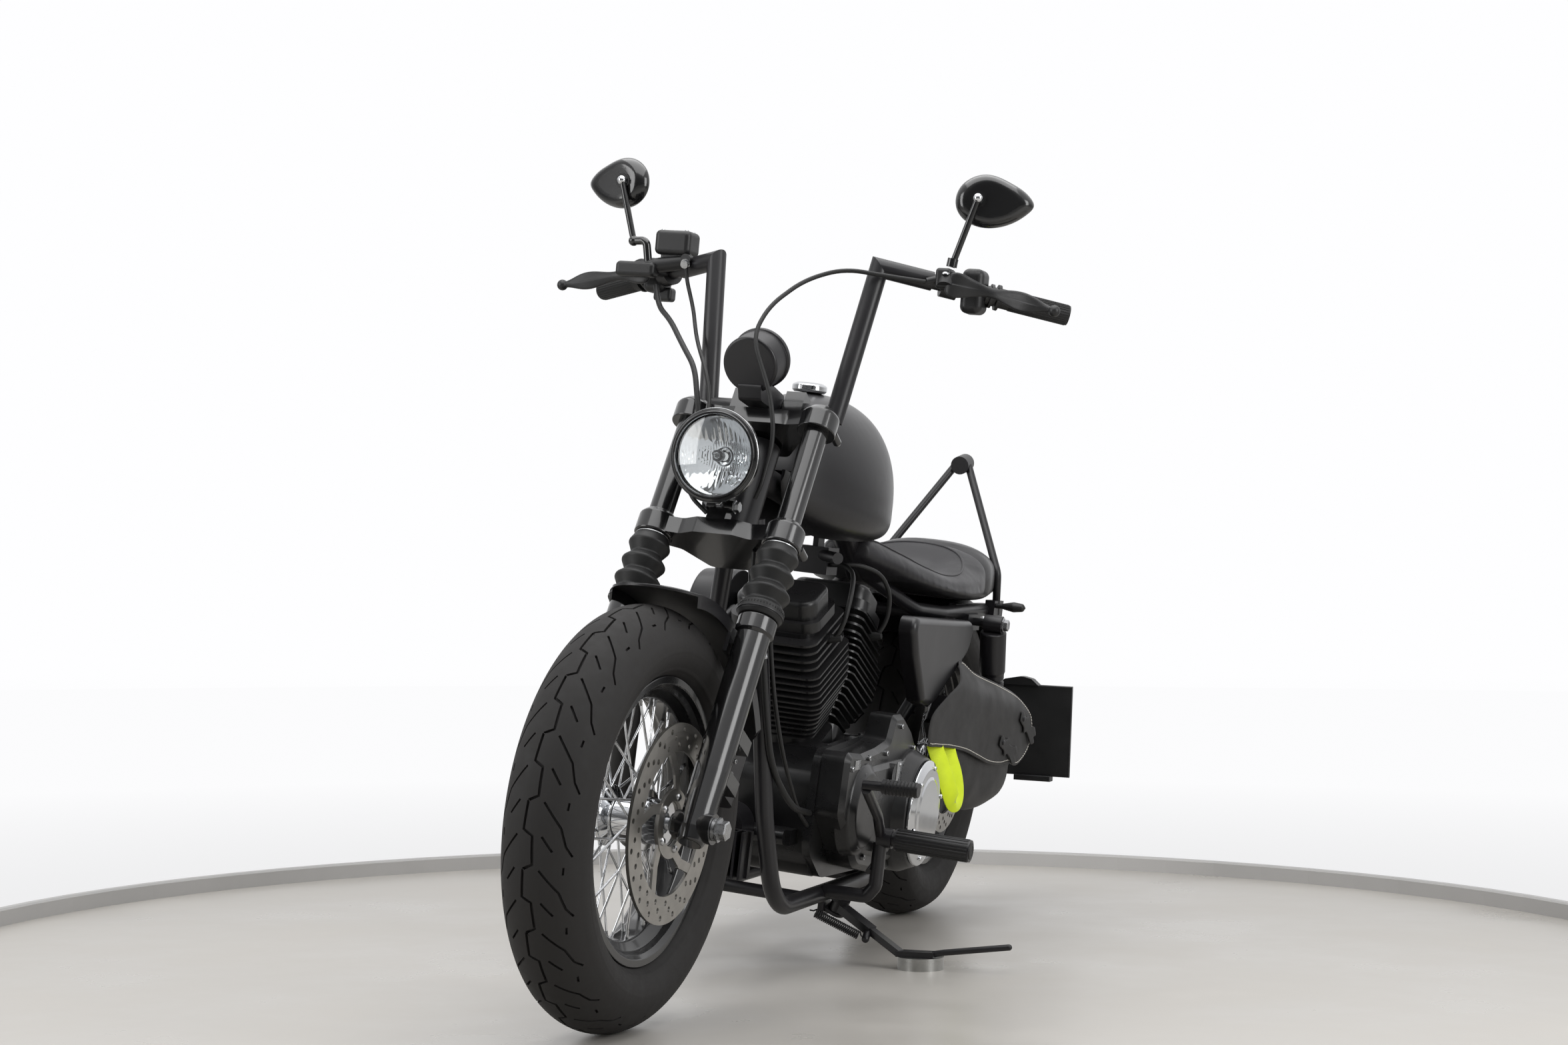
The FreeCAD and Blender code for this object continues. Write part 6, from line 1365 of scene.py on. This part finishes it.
mirrorSilver = bareMetal("mirrorSilver", {"dark": "#e4e6e8", "light": "#eceeef", "cloud": 40, "roughness": 0.02,
                                          "marks": 20, "bump": 0.0})
dialEnamel = elastomer("dialEnamel", {"dark": "#17181a", "light": "#1e1f21", "cloud": 12, "roughness": 0.5,
                                      "grain": 0.4, "bump": 0.05})
dialWhite = elastomer("dialWhite", {"dark": "#d8d8d2", "light": "#e6e6e0", "cloud": 6, "roughness": 0.5,
                                    "grain": 0.4, "bump": 0.02})
needleRed = elastomer("needleRed", {"dark": "#a8281a", "light": "#b83322", "cloud": 5, "roughness": 0.45,
                                    "grain": 0.4, "bump": 0.02})


def makeDial():
    # The rider's side of the instrument: graduations, plain figures, a needle and its glass
    tilt = math.radians(19)
    facing = Vector((0, math.cos(tilt), math.sin(tilt)))
    face = aim(Vector((0, -447, 1025)) + facing * 50.1, facing, (-1, 0, 0))
    bm = bmesh.new()
    lathe(bm, [(0, 0), (0, 42.5), (0.5, 42.5), (0.5, 0)], 64, standUp, False)
    finishPiece("dialFace", toMesh(bm), "steering", "control_plastic", dialEnamel, face)
    tick = headMesh([(0.5, 0), (0.5, 0.3)], 0, 0, 4)
    for vert in tick.vertices:
        vert.co.x *= 5.0
    ticks = []
    for k in range(41):
        angle = math.radians(225 - 270 * k / 40)
        out = Vector((math.cos(angle), math.sin(angle), 0))
        spot = face @ (out * (37.6 if k % 5 else 36.6) + Vector((0, 0, 0.5)))
        ticks.append((spot, facing, face.to_3x3() @ out, 0.8 if k % 5 else 1.3))
    setRepeats("dialTicks", tick, ticks, "steering", "plate_white", dialWhite)
    shapes = bmesh.new()
    for k in range(9):
        angle = math.radians(225 - 270 * k / 8)
        word = bpy.data.curves.new("figure", "FONT")
        word.body, word.size, word.align_x, word.align_y, word.extrude = str(k * 20), 5.6, "CENTER", "CENTER", 0.1
        holder = bpy.data.objects.new("figure", word)
        bpy.context.scene.collection.objects.link(holder)
        mesh = evaluated(holder)
        mesh.transform(Matrix.Translation((27.5 * math.cos(angle), 27.5 * math.sin(angle), 0.65)))
        shapes.from_mesh(mesh)
        bpy.data.objects.remove(holder)
    mesh = bpy.data.meshes.new("figures")
    shapes.to_mesh(mesh)
    shapes.free()
    finishPiece("dialFigures", mesh, "steering", "plate_white", dialWhite, face, None)
    bm = bmesh.new()
    sweep(bm, [Vector((6, 6, 1.6)), Vector((-10, -10, 1.6)), Vector((-22, -22, 1.4))],
          lambda t: flatSection(2.2 - 1.6 * t, 0.8, 0.2))
    lathe(bm, [(0.6, 0), (0.6, 4.5), (2.6, 4.0), (3.0, 0)], 24, standUp, False)
    finishPiece("dialNeedle", toMesh(bm), "steering", "control_plastic", needleRed, face)
    bm = bmesh.new()
    lathe(bm, [(3.4, 0), (3.0, 42.8), (1.8, 43.6), (2.2, 0)], 64, standUp, False)
    finishPiece("dialGlass", toMesh(bm), "steering", "lamp_glass", lampGlass, face)


makeLamp()
makeForkFittings()
makeWheelDetails()
makeMirrorGlass()
makeDial()
print("front end dressed")


# Engine and frame details

def coverSpots(outline, inset, x, pitch, scale=1.0):
    # Screws that follow an outline of (y, z) at an even pitch, set in from its edge
    line = [Vector((0, y, z)) for y, z in outline]
    middle = sum(line, Vector()) / len(line)
    inner = []
    for index, point in enumerate(line):
        before, after = line[index - 1], line[(index + 1) % len(line)]
        bisector = ((before - point).normalized() + (after - point).normalized())
        if bisector.length < 0.2:
            bisector = middle - point
        bisector.normalize()
        if bisector.dot(middle - point) < 0:
            bisector = -bisector
        inner.append(point + bisector * inset)
    inner.append(inner[0])
    return [(Vector((x, p.y, p.z)), (math.copysign(1, x), 0, 0), (0, 0, 1), scale)
            for p in [spot[0] for spot in stitchLine(inner, pitch, lambda q: q)]]


def makeEngineScrews():
    primary = [(-176, 296), (-60, 196), (110, 168), (258, 180), (310, 240), (304, 330), (252, 386), (198, 428),
               (140, 456), (88, 456), (64, 412), (0, 402), (-80, 396), (-168, 404)]
    spots = coverSpots(primary, 22, 150, 104)
    setRepeats("primaryScrews", socketHead, spots, *frameSteel)
    derby = [(Vector((196.6, 198 + 83 * math.cos(a), 278 + 83 * math.sin(a))), (1, 0, 0), (0, 0, 1), 0.9)
             for a in [math.radians(18 + 60 * k) for k in range(6)]]
    setRepeats("derbyScrews", buttonHead, derby, "root", "chrome", chrome)
    cam = [(-150, 260), (-60, 200), (150, 190), (158, 260), (158, 360), (120, 392), (40, 368), (-100, 392), (-150, 340)]
    setRepeats("camScrews", socketHead, coverSpots(cam, 18, -134.3, 92), *frameSteel)
    # Inspection plate and maker's tag, both left blank
    for name, y, z, w, h, x in (("inspectionPlate", 85, 354, 34, 44, 166.0), ("blankTag", -120, 380, 30, 16, 150.0)):
        bm = bmesh.new()
        outline = [(y - w / 2, z - h / 2), (y + w / 2, z - h / 2), (y + w / 2, z + h / 2), (y - w / 2, z + h / 2)]
        rings = [[bm.verts.new((x + d, y + (a - y) * s, z + (b - z) * s)) for a, b in outline]
                 for d, s in ((-0.4, 1.0), (1.1, 1.0), (1.5, 0.95))]
        bridge(bm, rings)
        capEnds(bm, rings)
        finishPiece(name, toMesh(bm), "root", "turned_aluminium", zincSteel)
    setRepeats("plateScrews", buttonHead, [(Vector((167.2, 85, z)), (1, 0, 0), (0, 0, 1), 0.7) for z in (338, 370)],
               *frameSteel)


def makePlugs():
    # The plug's hexagon under each lead's rubber boot
    for name, y, side in (("frontPlug", -147.3, -1), ("rearPlug", 91.3, 1)):
        spot = Vector((70.3, y, 588.1))
        way = Vector((1, side * -0.05, 0.15)).normalized()
        spun(name + "Boot", [(2, 0), (2, 7.5), (5, 8.4), (14, 8.4), (26, 7.0), (34, 5.4), (36, 0)],
             spot, way, *frameRubber, 24, False)
        spun(name + "Base", [(-10, 0), (-10, 11), (-4, 11), (-3, 8.5), (3, 8.5), (3, 0)], spot, way,
             *frameSteel, 6, False)


def makeCrimps():
    # Crimped sleeves where the hoses pass from rubber to pipe
    for index, (x, y, z) in enumerate(((54.2, -397.4, 566), (52.9, -398.8, 590), (54.5, -391.2, 640))):
        spun("hoseCrimp%d" % (index + 1), [(-8, 4.5), (-8, 7.2), (-5, 7.6), (-4, 6.9), (4, 6.9), (5, 7.6), (8, 7.2),
                                          (8, 4.5)], Vector((x, y, z)), Vector((0.09, 0.12, -1)), *frameSteel, 24)


def makeShockDetails():
    spots = []
    for side in (-1, 1):
        for y, z in ((640, 618), (728, 340)):
            spots.append((Vector((side * 186.5, y, z)), (side, 0, 0), (0, 0, 1), 2.2))
    setRepeats("shockNuts", hexHead, spots, *frameSteel)


standSpring = {"upperHook": (70, -40, 108), "hinge": (96, 40, 112), "turns": 24, "radius": 6.9, "wire": 1.4,
               "stepsPerTurn": 14, "hook": 10}


def makeSpring():
    # The stand's return spring: close turns between two hooks; its lower end goes with the stand
    start = Vector(standSpring["upperHook"])
    lean = math.radians(stance["lean"])
    foot = Vector(stance["standFoot"])
    heel = Matrix.Rotation(-lean, 3, "Y") @ (foot - Vector((0, 0, stance["groundDrop"])))
    pivot = Vector(standSpring["hinge"])
    end = pivot + (heel - pivot) * 0.5 + Vector((2, -17, -16))
    way = (end - start).normalized()
    end = end - way * 4.0
    length = (end - start).length
    turn = aim(start, way)
    radius, hook, perTurn = (standSpring[key] for key in ("radius", "hook", "stepsPerTurn"))
    line = [turn @ Vector((0, 0, -1)), turn @ Vector((2.0, 0, 6))]
    steps = standSpring["turns"] * perTurn
    for k in range(steps + 1):
        angle = 2 * math.pi * k / perTurn
        along = hook + (length - 2 * hook) * k / steps
        line.append(turn @ Vector((radius * math.cos(angle), radius * math.sin(angle), along)))
    line += [turn @ Vector((2.0, 0, length - 6)), turn @ Vector((0, 0, length + 1))]
    bm = bmesh.new()
    sweep(bm, line, roundSection(standSpring["wire"], 7))
    finishPiece("standSpringCoil", toMesh(bm), "root", "satin_black", satinBlack, None, 60.0, ["stand_spring"])


makeEngineScrews()
makePlugs()
makeCrimps()
makeShockDetails()
makeSpring()
print("engine dressed")


# Controls: ribbed rubbers, buttons and bright fittings

def ribSet(name, start, end, radius, count, width, body, slotName, material):
    # Lengthwise ribs round a straight rubber, which run down into it at both ends
    way = (end - start).normalized()
    across = way.orthogonal().normalized()
    low, high = radius - 0.4, radius - 0.4 + 1.3
    bm = bmesh.new()
    for k in range(count):
        out = Matrix.Rotation(2 * math.pi * k / count, 3, way) @ across
        side = way.cross(out)
        rings = [[bm.verts.new(at + out * lift + side * width * share)
                  for lift, share in ((low, 0.5), (top, 0.28), (top, -0.28), (low, -0.5))]
                 for at, top in ((start, low), (start + way * 2, high), (end - way * 2, high), (end, low))]
        bridge(bm, rings)
        capEnds(bm, rings)
    bmesh.ops.recalc_face_normals(bm, faces=bm.faces)
    mesh = bpy.data.meshes.new(name)
    bm.to_mesh(mesh)
    bm.free()
    return finishPiece(name, mesh, body, slotName, material, None, 40.0)


def ringSet(name, start, end, radius, count, body, slotName, material):
    way = (end - start).normalized()
    bm = bmesh.new()
    for k in range(count):
        spot = start + (end - start) * ((k + 0.5) / count)
        lathe(bm, [(-1.6, radius - 0.5), (-1.0, radius + 1.2), (1.0, radius + 1.2), (1.6, radius - 0.5)], 32,
              aim(spot, way) @ standUp)
    return finishPiece(name, toMesh(bm), body, slotName, material, None, 40.0)


def makeRubbers():
    tip, elbow = onFork(426, 125, 1045), onFork(146, -31, 1009)
    for tag, flip in (("Left", 1), ("Right", -1)):
        a = tip + (elbow - tip).normalized() * 100
        b = tip - (elbow - tip).normalized() * 2
        ends = [Vector((p.x * flip, p.y, p.z)) for p in (a, b)]
        ribSet("gripRibs" + tag, ends[0], ends[1], 16.5, 26, 2.2, *forkRubber)
    ribSet("footpegRibsLeft", Vector((219, -62, 257)), Vector((348, -62, 257)), 19.0, 20, 3.6, *frameRubber)
    ribSet("footpegRibsRight", Vector((-264, -62, 257)), Vector((-363, -62, 257)), 19.0, 20, 3.6, *frameRubber)
    ringSet("shiftPegRings", Vector((238, -240, 364)), Vector((294, -240, 366)), 12.0, 9, *frameRubber)
    for tag, flip, x in (("Left", 1, 350.0), ("Right", -1, -365.0)):
        spot = Vector((x, -62, 257))
        spun("pegEnd" + tag, [(0, 0), (0, 15), (1.6, 14), (2.0, 9.5), (1.2, 8.5), (1.2, 0)],
             spot, Vector((flip, 0, 0)), *frameRubber, 32, False)


def makeFittings():
    # Bright pivots, reservoir lid screws and the banjo bolt
    spots = [(onFork(258, -16, 1003) + Vector((0, 0, 8.2)), (0, 0, 1), (1, 0, 0), 1.3),
             (onFork(-275, -8, 999) + Vector((0, 0, 8.2)), (0, 0, 1), (1, 0, 0), 1.3)]
    setRepeats("leverPivots", buttonHead, spots, *forkSteel)
    lid = [(onFork(-238 + dx, -14, 1052) + Vector((0, dy, 20.4)), (0, 0, 1), (1, 0, 0), 0.7) for dx in (-22, 22)
           for dy in (-14, 14)]
    setRepeats("reservoirScrews", buttonHead, lid, *forkSteel)
    spun("banjoBolt", [(16, 0), (16, 8.4), (18.5, 8.4), (18.5, 6.6), (24, 6.6), (24.6, 0)], onFork(-206, -12, 1020),
         Vector((0, -0.866 * 0.866 - 0.25, -0.5)).normalized(), *forkSteel, 24, False)


def makeMirrorFittings():
    # A bright ball joint behind each mirror and the small screw at the shell's outer end
    ball = [(8.4 * math.sin(math.radians(a)), 8.4 * math.cos(math.radians(a))) for a in range(-90, 91, 15)]
    ball[0], ball[-1] = (-8.4, 0), (8.4, 0)
    screws = []
    for tag, pivot, degrees, flip in mirrorPlaces:
        spun("mirrorBall" + tag, ball, pivot + Vector((0, -4.6, 0)), Vector((0, -1, 0)), *forkChrome, 24,
             False)
        turn = Matrix.Rotation(math.radians(degrees), 3, "Z")
        spot = turn @ Vector((62, 4.0, -2))
        facing = turn @ Vector((0.35, -1, 0))
        screws.append((pivot + Vector((flip * spot.x, 10 + spot.y - 6.5, spot.z)),
                       (flip * facing.x, facing.y, facing.z),
                       (0, 0, 1), 0.55))
    setRepeats("mirrorScrews", buttonHead, screws, *forkSteel)


makeRubbers()
makeFittings()
makeMirrorFittings()
print("controls dressed")
